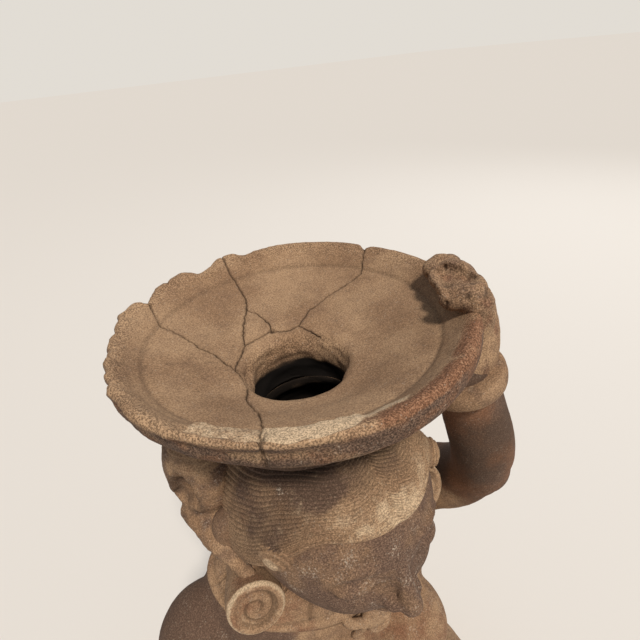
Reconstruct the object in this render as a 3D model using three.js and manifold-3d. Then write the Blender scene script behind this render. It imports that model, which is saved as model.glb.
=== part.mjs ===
// Terracotta woman kneeling on her heels. She carries a shallow dish, open in the middle, on her head
// and steadies its rim with her raised left hand. Millimetres, +Z up, she faces -Y and her left is +X.
// Heights are written as a drop below the dish's rim, because the rim is the best known level.
import * as THREE from 'three';
import { mergeVertices } from 'three/addons/utils/BufferGeometryUtils.js';
import Module from 'manifold-3d';

const wasm = await Module();
wasm.setup();

// main levels and sizes
const rimLevel = 480;
const dishRadius = 98;
const baseThickness = 22;
const baseHalfWidth = 110;
const baseHalfDepth = 122;
const baseCentreY = -20;
const baseCornerRadius = 46;

// dish: its lip, the step inside it, the shallow cone and the open throat, which lies off centre
const lipRadius = 93;
const stepRadius = 80;
const stepDrop = 11;
const throatCrestRadius = 29;
const throatCrestDrop = 25;
const throatRadius = 24.5;
const throatShift = new THREE.Vector2(-6, -13);
const dishSideHeight = 15;
const dishFootRadius = 62;
const dishFootDrop = 44;

// head, a near sphere under the dish, and the chamber inside it
const headX = -4;
const headCentreY = -27;
const headDrop = 110;
const headHalfWidth = 58;
const headHalfDepth = 67;
const headHalfHeight = 66;
const hairThickness = 6.5;
const hairlineY = -86;
const hairlineDrop = 76;
const napeY = 26;
const napeDrop = 157;
const chamberHalfWidth = 44;
const chamberHalfHeight = 46;
const chamberY = -17;
const chamberDrop = 97;

// the face, set out in three equal parts from hairline to chin
const faceThird = 29;
const eyeSpread = 22;
const eyeDrop = hairlineDrop + faceThird + 9;
const noseBaseDrop = hairlineDrop + 2 * faceThird;
const mouthDrop = noseBaseDrop + 10;
const chinDrop = hairlineDrop + 3 * faceThird - 3;

// jewellery
const plugRadius = 16;
const plugLength = 38;
const bangleRadius = 24;
const bangleThickness = 11;
const collarTiles = 16;

const at = (x, y, drop) => new THREE.Vector3(x, y, rimLevel - drop);
const clamp = THREE.MathUtils.clamp;
const smooth = THREE.MathUtils.smoothstep;
const lerp = THREE.MathUtils.lerp;
const bell = (x, width) => Math.exp(-((x / width) ** 2));

// moves every vertex of a geometry by a function of its place
function shaped(geometry, move) {
  const place = geometry.attributes.position;
  const point = new THREE.Vector3();
  for (let i = 0; i < place.count; i += 1) {
    move(point.fromBufferAttribute(place, i));
    place.setXYZ(i, point.x, point.y, point.z);
  }
  return geometry;
}

function solid(geometry) {
  const bare = geometry.clone();
  bare.deleteAttribute('normal');
  bare.deleteAttribute('uv');
  const merged = mergeVertices(bare, 0.001);
  return new wasm.Manifold(new wasm.Mesh({
    numProp: 3,
    vertProperties: new Float32Array(merged.attributes.position.array),
    triVerts: new Uint32Array(merged.index.array),
  }));
}

// stands a turned geometry, made about +Y, on a point with its axis along a direction
function placed(geometry, centre, axis) {
  geometry.applyQuaternion(new THREE.Quaternion().setFromUnitVectors(new THREE.Vector3(0, 1, 0), axis));
  geometry.translate(centre.x, centre.y, centre.z);
  return geometry;
}

// reads a curve through values that stand at equal steps from 0 to 1
function through(values, t) {
  const place = clamp(t, 0, 1) * (values.length - 1);
  const i = Math.min(Math.floor(place), values.length - 2);
  const before = values[Math.max(i - 1, 0)];
  const after = values[Math.min(i + 2, values.length - 1)];
  const u = place - i;
  const slopeIn = (values[i + 1] - before) / 2;
  const slopeOut = (after - values[i]) / 2;
  const a = 2 * u ** 3 - 3 * u ** 2 + 1;
  const b = u ** 3 - 2 * u ** 2 + u;
  const c = -2 * u ** 3 + 3 * u ** 2;
  const d = u ** 3 - u ** 2;
  return a * values[i] + b * slopeIn + c * values[i + 1] + d * slopeOut;
}

// an egg with half sizes x, y and z, turned about the three axes in degrees
function egg(centre, half, sides = 12, rings = 8, turn = [0, 0, 0]) {
  const geometry = new THREE.SphereGeometry(1, sides, rings);
  geometry.rotateX(Math.PI / 2);
  geometry.scale(half[0], half[1], half[2]);
  geometry.rotateX(THREE.MathUtils.degToRad(turn[0]));
  geometry.rotateY(THREE.MathUtils.degToRad(turn[1]));
  geometry.rotateZ(THREE.MathUtils.degToRad(turn[2]));
  geometry.translate(centre.x, centre.y, centre.z);
  return solid(geometry);
}

// a limb with round ends along a route, its radii read at equal steps of its length
function limb(route, radii, sides = 10, steps = 7) {
  const curve = new THREE.CatmullRomCurve3(route, false, 'centripetal');
  const length = curve.getLength();
  const overall = route[route.length - 1].clone().sub(route[0]).toArray().map(Math.abs);
  const across = new THREE.Vector3().setComponent(overall.indexOf(Math.min(...overall)), 1);
  const geometry = new THREE.CylinderGeometry(1, 1, 1, sides, steps);
  return solid(shaped(geometry, (p) => {
    const even = clamp(p.y + 0.5, 0, 1);
    const t = lerp(even, 0.5 - 0.5 * Math.cos(Math.PI * even), 0.7);
    const radius = through(radii, t);
    const toEnd = clamp(Math.min(t, 1 - t) * length / radius, 0, 1);
    const reach = radius * Math.max(Math.sqrt(1 - (1 - toEnd) ** 2), 0.3);
    const tangent = curve.getTangentAt(t);
    const side = new THREE.Vector3().crossVectors(tangent, across).normalize();
    const rise = new THREE.Vector3().crossVectors(side, tangent);
    p.copy(curve.getPointAt(t).addScaledVector(side, p.x * reach).addScaledVector(rise, p.z * reach));
  }));
}

// an upright form through levels from top to bottom: drop, half width, reach forward, reach back
function tower(levels, sides, steps, proud = 0, from = 0, to = 1) {
  const geometry = new THREE.CylinderGeometry(1, 1, 1, sides, steps);
  geometry.rotateX(Math.PI / 2);
  return solid(shaped(geometry, (p) => {
    const t = lerp(from, to, 0.5 - p.z);
    const edge = Math.hypot(p.x, p.y) > 0.5 ? 1 : 0;
    p.copy(towerPoint(levels, t, Math.atan2(p.y, p.x), proud, edge));
  }));
}

// the point of such a form at t from top to bottom and at an angle, slightly squared in plan
function towerPoint(levels, t, angle, proud = 0, edge = 1) {
  const [drop, halfWidth, forward, back] = [0, 1, 2, 3].map((k) => through(levels.map((l) => l[k]), t));
  const squareness = 0.86;
  const side = Math.sign(Math.cos(angle)) * Math.abs(Math.cos(angle)) ** squareness;
  const depth = Math.sign(Math.sin(angle)) * Math.abs(Math.sin(angle)) ** squareness;
  const reachY = depth < 0 ? forward : back;
  return at(edge * (halfWidth + proud) * side, edge * (reachY + proud) * depth, drop);
}

// Dish: one turned section, worn along its rim
const rimChips = [
  // angle round the dish in degrees, half width in degrees, depth in mm
  [104, 5, 2.4], [117, 4, 2], [130, 6, 3], [143, 4, 1.8], [154, 6, 2.6], [166, 5, 2],
  [178, 6, 3], [192, 4, 1.8], [71, 3, 2.6], [238, 16, 3.2],
];

function chipDepth(angle) {
  const degrees = THREE.MathUtils.radToDeg(angle);
  return rimChips.reduce((sum, [centre, width, depth]) => {
    const away = THREE.MathUtils.euclideanModulo(degrees - centre + 180, 360) - 180;
    return sum + depth * bell(away, width);
  }, 0);
}

function dish() {
  const bottom = dishFootDrop + 6;
  const profile = [
    [throatRadius, bottom],
    [throatRadius, throatCrestDrop + 6],
    [throatCrestRadius - 1, throatCrestDrop + 0.4],
    [throatCrestRadius + 4, throatCrestDrop - 0.6],
    [stepRadius, stepDrop],
    [lipRadius - 4, 3.6],
    [lipRadius, 0],
    [dishRadius - 1, 2],
    [dishRadius, 6],
    [dishRadius - 2, dishSideHeight],
    [73, 33],
    [dishFootRadius + 3, dishFootDrop - 3],
    [dishFootRadius - 2, bottom],
    [throatRadius, bottom],
  ].map(([r, drop]) => new THREE.Vector2(r, -drop));
  const geometry = new THREE.LatheGeometry(profile.reverse(), 42);
  geometry.rotateX(Math.PI / 2);
  return solid(shaped(geometry, (p) => {
    const r = Math.hypot(p.x, p.y);
    const angle = Math.atan2(p.y, p.x);
    const drop = -p.z;
    const rim = smooth(r, lipRadius - 8, lipRadius + 1) * (1 - smooth(drop, 8, 20));
    const worn = (r - chipDepth(angle) * rim) / r;
    const shift = 1 - smooth(r, throatCrestRadius, stepRadius);
    p.set(p.x * worn + throatShift.x * shift, p.y * worn + throatShift.y * shift, rimLevel + p.z);
    p.z -= rim * (0.45 * chipDepth(angle) + 0.8 * Math.sin(3 * angle + 0.6));
  }));
}

// Head
function head(proud, sides, rings) {
  const geometry = new THREE.SphereGeometry(1, sides, rings);
  geometry.rotateX(Math.PI / 2);
  return shaped(geometry, (p) => {
    const low = Math.max(0, -p.z);
    const jaw = 1 - 0.18 * low ** 1.5;
    p.set(p.x * (headHalfWidth + proud) * jaw,
      p.y * (headHalfDepth + proud) * (1 - 0.05 * low),
      p.z * (headHalfHeight + proud));
    p.add(at(headX, headCentreY, headDrop));
  });
}

function face() {
  const skin = shaped(head(0, 24, 17), (p) => {
    if (p.y > headCentreY) return;
    const drop = rimLevel - p.z;
    const across = Math.abs(p.x - headX);
    const low = clamp((drop - headDrop) / headHalfHeight, 0, 0.98);
    const fullness = Math.sqrt((1 - low ** 3.2) / (1 - low ** 2));
    const socket = bell(across - eyeSpread, 13) * bell(drop - eyeDrop, 8.5);
    const cheek = bell(across - 27, 14) * bell(drop - noseBaseDrop, 13);
    const underLip = bell(across, 16) * bell(drop - mouthDrop - 9, 4);
    const chin = bell(across, 15) * bell(drop - chinDrop, 9);
    p.y = lerp(headCentreY, p.y, fullness) + 4 * socket + 1.6 * underLip - 1.5 * cheek - 3 * chin;
  });
  const pieces = [solid(skin)];
  const front = headCentreY - headHalfDepth;
  const noseRoute = [
    at(headX, front + 5, eyeDrop - 9),
    at(headX, front, eyeDrop + 2),
    at(headX, front - 5, noseBaseDrop - 6),
    at(headX, front - 5, noseBaseDrop - 1),
  ];
  pieces.push(limb(noseRoute, [4, 5, 7.5, 6], 7, 5));
  for (const side of [-1, 1]) {
    const eyeX = headX + side * eyeSpread;
    pieces.push(egg(at(headX + side * 7, front + 1, noseBaseDrop - 3), [5, 6.5, 4.5], 6, 4));
    pieces.push(egg(at(eyeX, front + 12, eyeDrop), [12.5, 8.5, 6.5], 8, 5, [0, 0, side * 12]));
    const browRoute = [
      at(headX + side * 7, front + 3, eyeDrop - 10),
      at(headX + side * 20, front + 5.5, eyeDrop - 16),
      at(headX + side * 35, front + 14, eyeDrop - 11),
    ];
    pieces.push(limb(browRoute, [1.5, 2.6, 1.5], 5, 4));
  }
  const lips = [
    { halfWidth: 14, drop: mouthDrop, bow: -1, back: 14.6, thickness: [1.6, 3.4, 1.6] },
    { halfWidth: 11, drop: mouthDrop + 2.5, bow: 2.5, back: 15.6, thickness: [1.8, 3.6, 1.8] },
  ];
  for (const lip of lips) {
    const lipRoute = [
      at(headX - lip.halfWidth, front + lip.back, lip.drop),
      at(headX, front + lip.back - 4.8, lip.drop + lip.bow),
      at(headX + lip.halfWidth, front + lip.back, lip.drop),
    ];
    pieces.push(limb(lipRoute, lip.thickness, 6, 4));
  }
  return wasm.Manifold.union(pieces);
}

// Hair: combed back over the head above a sloping hairline, swelling over the brow and fuller before
// each ear, and broken off at the right of the back, where it was once gathered
const hairlineSlope = Math.atan2(napeDrop - hairlineDrop, napeY - hairlineY);
const hairlineShare = (headCentreY - hairlineY) / (napeY - hairlineY);
const hairlineMiddle = at(headX, headCentreY, lerp(hairlineDrop, napeDrop, hairlineShare));

// a point round the head on the hairline's sloping plane, 0 degrees being the brow
function onHairline(degrees, outward = 0, rise = 0) {
  const angle = THREE.MathUtils.degToRad(degrees);
  const point = new THREE.Vector3(
    (headHalfWidth + outward) * Math.sin(angle),
    -(headHalfDepth * 1.02 + outward) * Math.cos(angle),
    rise,
  );
  point.applyAxisAngle(new THREE.Vector3(1, 0, 0), -hairlineSlope);
  return point.add(hairlineMiddle);
}

function hair() {
  const cutter = new THREE.BoxGeometry(400, 400, 200);
  cutter.translate(0, 0, -100);
  cutter.rotateX(-hairlineSlope);
  cutter.translate(hairlineMiddle.x, hairlineMiddle.y, hairlineMiddle.z);
  const mass = shaped(head(hairThickness, 26, 15), (p) => {
    const out = new THREE.Vector3().subVectors(p, at(headX, headCentreY, headDrop)).setZ(0).normalize();
    const front = clamp(-out.y + 0.35, 0, 1);
    const swell = 3.5 * front * bell(rimLevel - p.z - 66 - 10 * (1 - front), 11);
    const sides = 4 * bell(Math.abs(out.x) - 0.78, 0.2) * front * bell(rimLevel - p.z - 92, 16);
    p.addScaledVector(out, swell + sides);
  });
  const pieces = [solid(mass).subtract(solid(cutter))];
  const arc = [-1, -0.7, -0.35, 0, 0.35, 0.7, 1].map((s) => onHairline(s * 74, 3.2, 2));
  pieces.push(limb(arc, [3, 4, 4.2, 4.2, 4.2, 4, 3], 5, 12));
  for (const side of [-1, 1]) {
    const sideburn = [
      onHairline(side * 66, 1, 8),
      onHairline(side * 70, 1, -8),
      onHairline(side * 68, -2, -20),
    ];
    pieces.push(limb(sideburn, [9, 7, 4], 6, 3));
  }
  return wasm.Manifold.union(pieces);
}

function bunScar() {
  const lumps = [
    egg(at(-64, 12, 84), [22, 27, 34], 11, 7),
    egg(at(-62, -8, 116), [19, 20, 15], 8, 5, [30, 0, 0]),
    limb([at(-80, 4, 106), at(-74, -20, 116), at(-66, -38, 128)], [6, 6, 4], 6, 4),
  ];
  const hollow = egg(at(-84, -3, 86), [12, 9, 15], 8, 5, [0, 20, 20]);
  const lowHollow = egg(at(-76, -27, 128), [7, 10, 6], 6, 4);
  return wasm.Manifold.union(lumps).subtract(hollow).subtract(lowHollow);
}

function earWithPlug(side) {
  const spread = side < 0 ? 66 : 60;
  const faceCentre = at(headX + side * spread, -51, 138);
  const inward = new THREE.Vector3(side * -0.2, 0.93, -0.31).normalize();
  const profile = [
    [0, 1], [5.5, 1], [6.6, -1], [7.6, 0.4], [11, 0.4], [12, -1], [13.2, 1],
    [plugRadius - 0.4, 0.6],
    [plugRadius - 1.2, -plugLength * 0.5],
    [plugRadius - 4, -plugLength],
    [0, -plugLength],
  ].map(([r, h]) => new THREE.Vector2(r, h));
  const plug = placed(new THREE.LatheGeometry(profile.reverse(), 12), faceCentre, inward.negate());
  const earRoute = [
    at(headX + side * 58, -24, 96),
    at(headX + side * 62, -18, 106),
    at(headX + side * 63, -22, 120),
    at(headX + side * 58, -30, 134),
  ];
  return solid(plug).add(limb(earRoute, [6, 9, 7, 7], 6, 5));
}

// Body: an upright trunk that narrows at the waist, widens into the hips and sits on the heels
const trunkLevels = [
  [146, 34, 36, 28],
  [162, 37, 39, 33],
  [173, 62, 44, 38],
  [183, 86, 48, 42],
  [198, 92, 52, 47],
  [228, 87, 58, 49],
  [262, 77, 61, 45],
  [300, 71, 58, 41],
  [334, 82, 62, 46],
  [374, 100, 64, 60],
  [416, 104, 54, 72],
  [460, 94, 46, 68],
];
const levelSteps = trunkLevels.length - 1;
const waistAt = 7.7 / levelSteps;
const sashDepth = 0.055;

function trunk() {
  const pieces = [tower(trunkLevels, 22, 14)];
  pieces.push(tower(trunkLevels, 22, 1, 3.5, waistAt, waistAt + sashDepth));
  for (const side of [-1, 1]) {
    pieces.push(egg(at(side * 32, -56, 260), [30, 34, 31], 11, 7));
    pieces.push(egg(at(side * 35, -89, 265), [4.5, 4, 4.5], 5, 3));
  }
  return wasm.Manifold.union(pieces);
}

// broad collar lying on the shoulders and lower in front, scored into tiles, with a plaque at the throat
function collar() {
  const innerAt = 1.5;
  const pointsPerTile = 4;
  const band = new THREE.CylinderGeometry(1, 1, 1, collarTiles * pointsPerTile, 4);
  band.rotateX(Math.PI / 2);
  shaped(band, (p) => {
    const angle = Math.atan2(p.y, p.x);
    const inTile = THREE.MathUtils.euclideanModulo((angle / (2 * Math.PI)) * collarTiles, 1);
    const proud = inTile < 0.1 || inTile > 0.9 ? 0.6 : 3.2;
    const edge = Math.hypot(p.x, p.y) > 0.5 ? 1 : 0;
    const front = clamp(-Math.sin(angle), 0, 1);
    const outerAt = 2.9 + 1.6 * front ** 2.7;
    p.copy(towerPoint(trunkLevels, lerp(innerAt, outerAt, 0.5 - p.z) / levelSteps, angle, 1, edge));
    const lift = new THREE.Vector3(Math.cos(angle), Math.sin(angle), 1.3).normalize();
    p.addScaledVector(lift, edge * proud);
  });
  const plaque = egg(at(3, -59, 217), [13, 7, 13], 12, 6, [8, 0, 0]);
  const hookRoute = [at(-19, -53, 203), at(-18, -57, 209), at(-12, -59, 214), at(-16, -60, 221)];
  const hook = limb(hookRoute, [3, 4, 4, 3], 6, 5);
  return wasm.Manifold.union([solid(band), plaque, hook]);
}

// Raised left arm, its bangle and the broken hand closed over the rim
function leftArm() {
  const wrist = at(70, -60, 42);
  const lowForearm = at(81, -63, 78);
  const pieces = [
    limb([at(72, 3, 214), at(92, -6, 200), at(99, -40, 164), at(95, -62, 131)], [21, 26, 23, 19], 11, 6),
    limb([at(96, -58, 142), at(92, -63, 114), lowForearm, wrist], [18, 20, 19, 17], 10, 4),
    limb([at(69, -59, 48), at(72, -58, 26), at(76, -53, 4), at(78, -44, -4)], [15, 15, 14, 12], 9, 4),
  ];
  const alongForearm = new THREE.Vector3().subVectors(wrist, lowForearm).normalize();
  const ring = new THREE.CylinderGeometry(bangleRadius - 1, bangleRadius, bangleThickness, 16, 1);
  pieces.push(solid(placed(ring, at(69, -60, 43), alongForearm)));
  const fingers = 4;
  for (let i = 0; i < fingers; i += 1) {
    const round = THREE.MathUtils.degToRad(lerp(-40, -15, i / (fingers - 1)));
    const reach = (r, drop) => at(r * Math.cos(round), r * Math.sin(round), drop);
    pieces.push(limb([reach(93, 12), reach(95, -2), reach(89, -8), reach(80, -6)], [8, 8.5, 8.5, 7], 6, 4));
  }
  return wasm.Manifold.union(pieces);
}

// Right arm, hanging from the shoulder and bent so that the hand lies on the thigh
function rightArm() {
  const wrist = at(-78, -84, 346);
  const lowForearm = at(-88, -62, 334);
  const pieces = [
    limb([at(-70, 3, 214), at(-97, 3, 214), at(-108, 0, 252), at(-106, -6, 296)], [20, 27, 23, 18], 11, 7),
    limb([at(-106, 0, 290), at(-100, -30, 314), lowForearm, wrist], [18, 19, 16, 13], 10, 4),
    egg(at(-71, -96, 352), [15, 20, 9], 8, 5, [18, 0, -22]),
  ];
  const fingers = 4;
  for (let i = 0; i < fingers; i += 1) {
    const across = lerp(-81, -57, i / (fingers - 1));
    const finger = [at(across, -102, 353), at(across + 4, -117, 361), at(across + 6, -128, 374)];
    pieces.push(limb(finger, [5, 4.8, 4], 5, 3));
  }
  const alongForearm = new THREE.Vector3().subVectors(wrist, lowForearm).normalize();
  const ring = new THREE.CylinderGeometry(18, 18, 8, 12, 1);
  pieces.push(solid(placed(ring, at(-81, -77, 343), alongForearm)));
  return wasm.Manifold.union(pieces);
}

// Legs folded under the body, round at the knees and covered by the wrapped cloth as far as the shins
function legs() {
  const pieces = [];
  for (const side of [-1, 1]) {
    const thigh = [
      at(side * 52, 10, 400),
      at(side * 60, -40, 396),
      at(side * 66, -86, 399),
      at(side * 66, -110, 414),
    ];
    const shin = [
      at(side * 66, -106, 434),
      at(side * 62, -50, 438),
      at(side * 54, 20, 440),
      at(side * 44, 60, 444),
    ];
    pieces.push(limb(thigh, [42, 41, 36, 31], 11, 6));
    pieces.push(limb(shin, [26, 25, 22, 15], 9, 5));
    pieces.push(egg(at(side * 66, -110, 414), [31, 31, 31], 11, 8));
    pieces.push(egg(at(side * 66, -106, 434), [26, 26, 26], 9, 7));
    pieces.push(egg(at(side * 38, 72, 446), [17, 28, 14], 8, 5, [0, 0, side * 14]));
  }
  pieces.push(egg(at(0, -46, 402), [54, 62, 46], 10, 6));
  return wasm.Manifold.union(pieces);
}

// folded end of the cloth, hanging from the sash between the knees in upright pleats
function pleats() {
  const halfWidth = 25;
  const folds = 5;
  const pointsPerFold = 3;
  const outline = new THREE.Shape();
  outline.moveTo(-halfWidth, 14);
  outline.lineTo(halfWidth, 14);
  for (let i = folds * pointsPerFold; i >= 0; i -= 1) {
    const across = lerp(-halfWidth, halfWidth, i / (folds * pointsPerFold));
    outline.lineTo(across, i % pointsPerFold === 0 ? -5 : -8);
  }
  outline.closePath();
  const fall = [at(0, -52, 326), at(0, -76, 358), at(0, -104, 396), at(0, -112, 456)];
  const drape = new THREE.CatmullRomCurve3(fall);
  const geometry = new THREE.ExtrudeGeometry(outline, { steps: 5, extrudePath: drape });
  return solid(geometry);
}

function base() {
  const outline = new THREE.Shape();
  const x = baseHalfWidth - baseCornerRadius;
  const y = baseHalfDepth - baseCornerRadius;
  outline.absarc(x, y, baseCornerRadius, 0, Math.PI / 2);
  outline.absarc(-x, y, baseCornerRadius, Math.PI / 2, Math.PI);
  outline.absarc(-x, -y, baseCornerRadius, Math.PI, 1.5 * Math.PI);
  outline.absarc(x, -y, baseCornerRadius, 1.5 * Math.PI, 2 * Math.PI);
  outline.closePath();
  const settings = { depth: baseThickness, bevelEnabled: false, curveSegments: 6 };
  const geometry = new THREE.ExtrudeGeometry(outline, settings);
  geometry.translate(0, baseCentreY, 0);
  return solid(geometry);
}

// the throat and the hollow of the head
function chamber() {
  const half = [chamberHalfWidth, chamberHalfWidth, chamberHalfHeight];
  const hollow = egg(at(throatShift.x * 0.5, chamberY, chamberDrop), half, 14, 10);
  const throat = new THREE.CylinderGeometry(throatRadius, throatRadius + 1, 50, 20, 1);
  const centre = at(throatShift.x, throatShift.y, throatCrestDrop + 26);
  return hollow.add(solid(placed(throat, centre, new THREE.Vector3(0, 0, 1))));
}

const whole = wasm.Manifold.union([
  dish(), face(), hair(), bunScar(), earWithPlug(-1), earWithPlug(1), trunk(), collar(),
  leftArm(), rightArm(), legs(), pleats(), base(),
]).subtract(chamber());

function geometryOf(manifold) {
  const mesh = manifold.getMesh();
  const geometry = new THREE.BufferGeometry();
  geometry.setAttribute('position', new THREE.BufferAttribute(new Float32Array(mesh.vertProperties), 3));
  geometry.setIndex(new THREE.BufferAttribute(new Uint32Array(mesh.triVerts), 1));
  geometry.computeVertexNormals();
  return geometry;
}

const terracotta = new THREE.MeshStandardMaterial({ color: 0x93694f, roughness: 0.93, metalness: 0 });
const woman = new THREE.Mesh(geometryOf(whole), terracotta);
woman.name = 'terracotta_woman';
woman.position.y = -baseCentreY;

const figure = new THREE.Group();
figure.add(woman);

export default figure;
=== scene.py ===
# Terracotta woman carrying a dish on her head, seen from above, to the front of her right shoulder.
# Sizes in the dictionaries are millimetres: x to her left, y to her back from the dish's middle, and
# drop is how far a point lies below the dish's rim. A wave of uneven clay is its height, size and seed.
import math

import bpy
import numpy as np
from mathutils import Matrix, Vector


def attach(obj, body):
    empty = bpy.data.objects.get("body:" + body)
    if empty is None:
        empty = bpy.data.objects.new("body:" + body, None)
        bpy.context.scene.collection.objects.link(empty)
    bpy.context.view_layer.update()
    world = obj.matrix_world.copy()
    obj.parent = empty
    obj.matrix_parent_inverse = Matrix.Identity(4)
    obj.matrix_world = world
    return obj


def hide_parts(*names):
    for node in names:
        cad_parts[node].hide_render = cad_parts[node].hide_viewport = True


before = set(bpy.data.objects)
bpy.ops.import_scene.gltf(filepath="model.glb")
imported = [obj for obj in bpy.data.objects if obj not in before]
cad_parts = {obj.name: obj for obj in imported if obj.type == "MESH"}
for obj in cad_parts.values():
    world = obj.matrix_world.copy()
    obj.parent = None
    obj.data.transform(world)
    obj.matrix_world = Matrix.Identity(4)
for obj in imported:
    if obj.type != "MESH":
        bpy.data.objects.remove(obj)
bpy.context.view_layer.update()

rimLevel = 480
dishAxisY = 20


# tools used by every piece
def spot(x, y, drop):
    return Vector((x, y + dishAxisY, rimLevel - drop)) / 1000


def selectNothing():
    bpy.ops.object.select_all(action="DESELECT")


def pick(piece):
    selectNothing()
    piece.select_set(True)
    bpy.context.view_layer.objects.active = piece


def added(operator, name, **settings):  # a new primitive, selected alone
    selectNothing()
    operator(**settings)
    bpy.context.object.name = name
    return bpy.context.object


def applied(piece, kind, **settings):
    pick(piece)
    modifier = piece.modifiers.new(kind.lower(), kind)
    for name, value in settings.items():
        setattr(modifier, name, value)
    bpy.ops.object.modifier_apply(modifier=modifier.name)


def joined(pieces, name):
    selectNothing()
    for piece in pieces:
        piece.select_set(True)
    bpy.context.view_layer.objects.active = pieces[0]
    if len(pieces) > 1:
        bpy.ops.object.join()
    pieces[0].name = name
    return pieces[0]


def sided(name, side):
    return name + ("Right" if side < 0 else "Left")


def readRows(points, field):
    flat = np.empty(len(points) * 3)
    points.foreach_get(field, flat)
    return flat.reshape(-1, 3)


def readPlaces(piece):  # millimetres: x, y from the dish's middle, height above its rim
    return readRows(piece.data.vertices, "co") * 1000 - (0, dishAxisY, rimLevel)


def writePlaces(piece, places):
    piece.data.vertices.foreach_set("co", ((places + (0, dishAxisY, rimLevel)) / 1000).ravel())
    piece.data.update()


def pushed(piece, amount):  # moves every point along its own normal
    outward = readRows(piece.data.vertex_normals, "vector")
    writePlaces(piece, readPlaces(piece) + outward * np.asarray(amount)[:, None])


def facedOut(piece, merge=0):  # turns faces outwards, after points closer than merge are made one
    pick(piece)
    bpy.ops.object.mode_set(mode="EDIT")
    bpy.ops.mesh.select_all(action="SELECT")
    if merge:
        bpy.ops.mesh.remove_doubles(threshold=merge)
    bpy.ops.mesh.normals_make_consistent(inside=False)
    bpy.ops.object.mode_set(mode="OBJECT")


def painted(piece, **masks):
    for name, values in masks.items():
        layer = piece.data.attributes.get(name) or piece.data.attributes.new(name, "FLOAT", "POINT")
        layer.data.foreach_set("value", np.clip(values, 0, 1).astype(np.float32))


def bell(x, width):
    return np.exp(-((x / width) ** 2))


def ramp(x, start, end):
    t = np.clip((x - start) / (end - start), 0, 1)
    return t * t * (3 - 2 * t)


def grooves(turns, sharpness):  # 1 at each whole turn and 0 half way between
    return (0.5 + 0.5 * np.cos(2 * math.pi * turns)) ** sharpness


def unitRows(rows):
    return rows / np.linalg.norm(rows, axis=1)[:, None]


def lumps(places, size, seed):  # smooth unevenness from -1 to 1 with lumps of one size
    grid = places / size + seed * 7.31
    cell = np.floor(grid).astype(np.int64)
    part = grid - cell
    part = part * part * (3 - 2 * part)
    total = np.zeros(len(grid))
    for corner in range(8):
        step = np.array([corner & 1, corner >> 1 & 1, corner >> 2 & 1])
        c = cell + step
        mixed = (c[:, 0] * 73856093) ^ (c[:, 1] * 19349663) ^ (c[:, 2] * 83492791) ^ (seed * 2654435761)
        mixed = (mixed ^ (mixed >> 13)) * 1274126177
        value = ((mixed ^ (mixed >> 16)) & 65535) / 32767.5 - 1
        total += value * np.prod(np.where(step, part, 1 - part), axis=1)
    return total


def waves(places, rows):
    return sum(height * lumps(places, size, seed) for height, size, seed in rows)


def roughened(piece, rows):
    pushed(piece, waves(readPlaces(piece), rows))


def dusted(piece, dust, **masks):  # plum, red and ash come and go, and pale lies on crests only
    places = readPlaces(piece)
    for name in ("plum", "red", "ash"):
        least, *wave = dust[name]
        masks[name] = least + waves(places, [wave])
    amount, size, seed, start, end = dust["pale"]
    masks["pale"] = np.maximum(amount * ramp(lumps(places, size, seed), start, end), masks.get("pale", 0))
    painted(piece, **masks)


def through(values, t):  # reads a smooth curve through values at equal steps
    values = np.asarray(values, float)
    place = np.clip(t, 0, 1) * (len(values) - 1)
    i = np.minimum(np.floor(place).astype(int), len(values) - 2)
    before = values[np.maximum(i - 1, 0)]
    after = values[np.minimum(i + 2, len(values) - 1)]
    u = place - i
    slopeIn = (values[i + 1] - before) / 2
    slopeOut = (after - values[i]) / 2
    return ((2 * u ** 3 - 3 * u ** 2 + 1) * values[i] + (u ** 3 - 2 * u ** 2 + u) * slopeIn
            + (3 * u ** 2 - 2 * u ** 3) * values[i + 1] + (u ** 3 - u ** 2) * slopeOut)


def fromLine(points, line):  # distance from points to a line of straight stretches
    best = np.full(len(points), 1e9)
    line = np.asarray(line, float)
    for a, b in zip(line[:-1], line[1:]):
        along = b - a
        t = np.clip(((points - a) @ along) / (along @ along), 0, 1)
        best = np.minimum(best, np.linalg.norm(points - a - t[:, None] * along, axis=1))
    return best


def egg(centre, half, turn=(0, 0, 0), segments=28, rings=18):
    piece = added(
        bpy.ops.mesh.primitive_uv_sphere_add, "egg", segments=segments, ring_count=rings, radius=0.001,
        location=spot(*centre), rotation=[math.radians(a) for a in turn])
    piece.scale = half
    bpy.ops.object.transform_apply(location=True, rotation=True, scale=True)
    return piece


def limb(rows, side=1, middle=0):  # a rounded limb through rows of x, y, drop and radius
    curve = bpy.data.curves.new("limb", "CURVE")
    curve.dimensions = "3D"
    curve.bevel_depth = 0.001
    curve.bevel_resolution = 8
    curve.resolution_u = 12
    curve.use_fill_caps = True
    spline = curve.splines.new("BEZIER")
    spline.radius_interpolation = "CARDINAL"
    spline.bezier_points.add(len(rows) - 1)
    rows = [(middle + side * x, y, drop, radius) for x, y, drop, radius in rows]
    for point, (x, y, drop, radius) in zip(spline.bezier_points, rows):
        point.co = spot(x, y, drop)
        point.radius = radius
        point.handle_left_type = point.handle_right_type = "AUTO"
    piece = bpy.data.objects.new("limb", curve)
    bpy.context.scene.collection.objects.link(piece)
    pick(piece)
    bpy.ops.object.convert(target="MESH")
    return joined([bpy.context.object] + [egg(rows[i][:3], rows[i][3:] * 3) for i in (0, -1)], "limb")


def reskinned(piece, cell, softening):  # one closed skin of even faces
    applied(piece, "REMESH", mode="VOXEL", voxel_size=cell / 1000)
    applied(piece, "SMOOTH", factor=0.5, iterations=softening)
    return piece


def fused(pieces, name, cell, softening):
    return reskinned(joined(pieces, name), cell, softening)


def cutAway(piece, cutter):
    applied(piece, "BOOLEAN", object=cutter, operation="DIFFERENCE", solver="EXACT")
    bpy.data.objects.remove(cutter)


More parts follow.
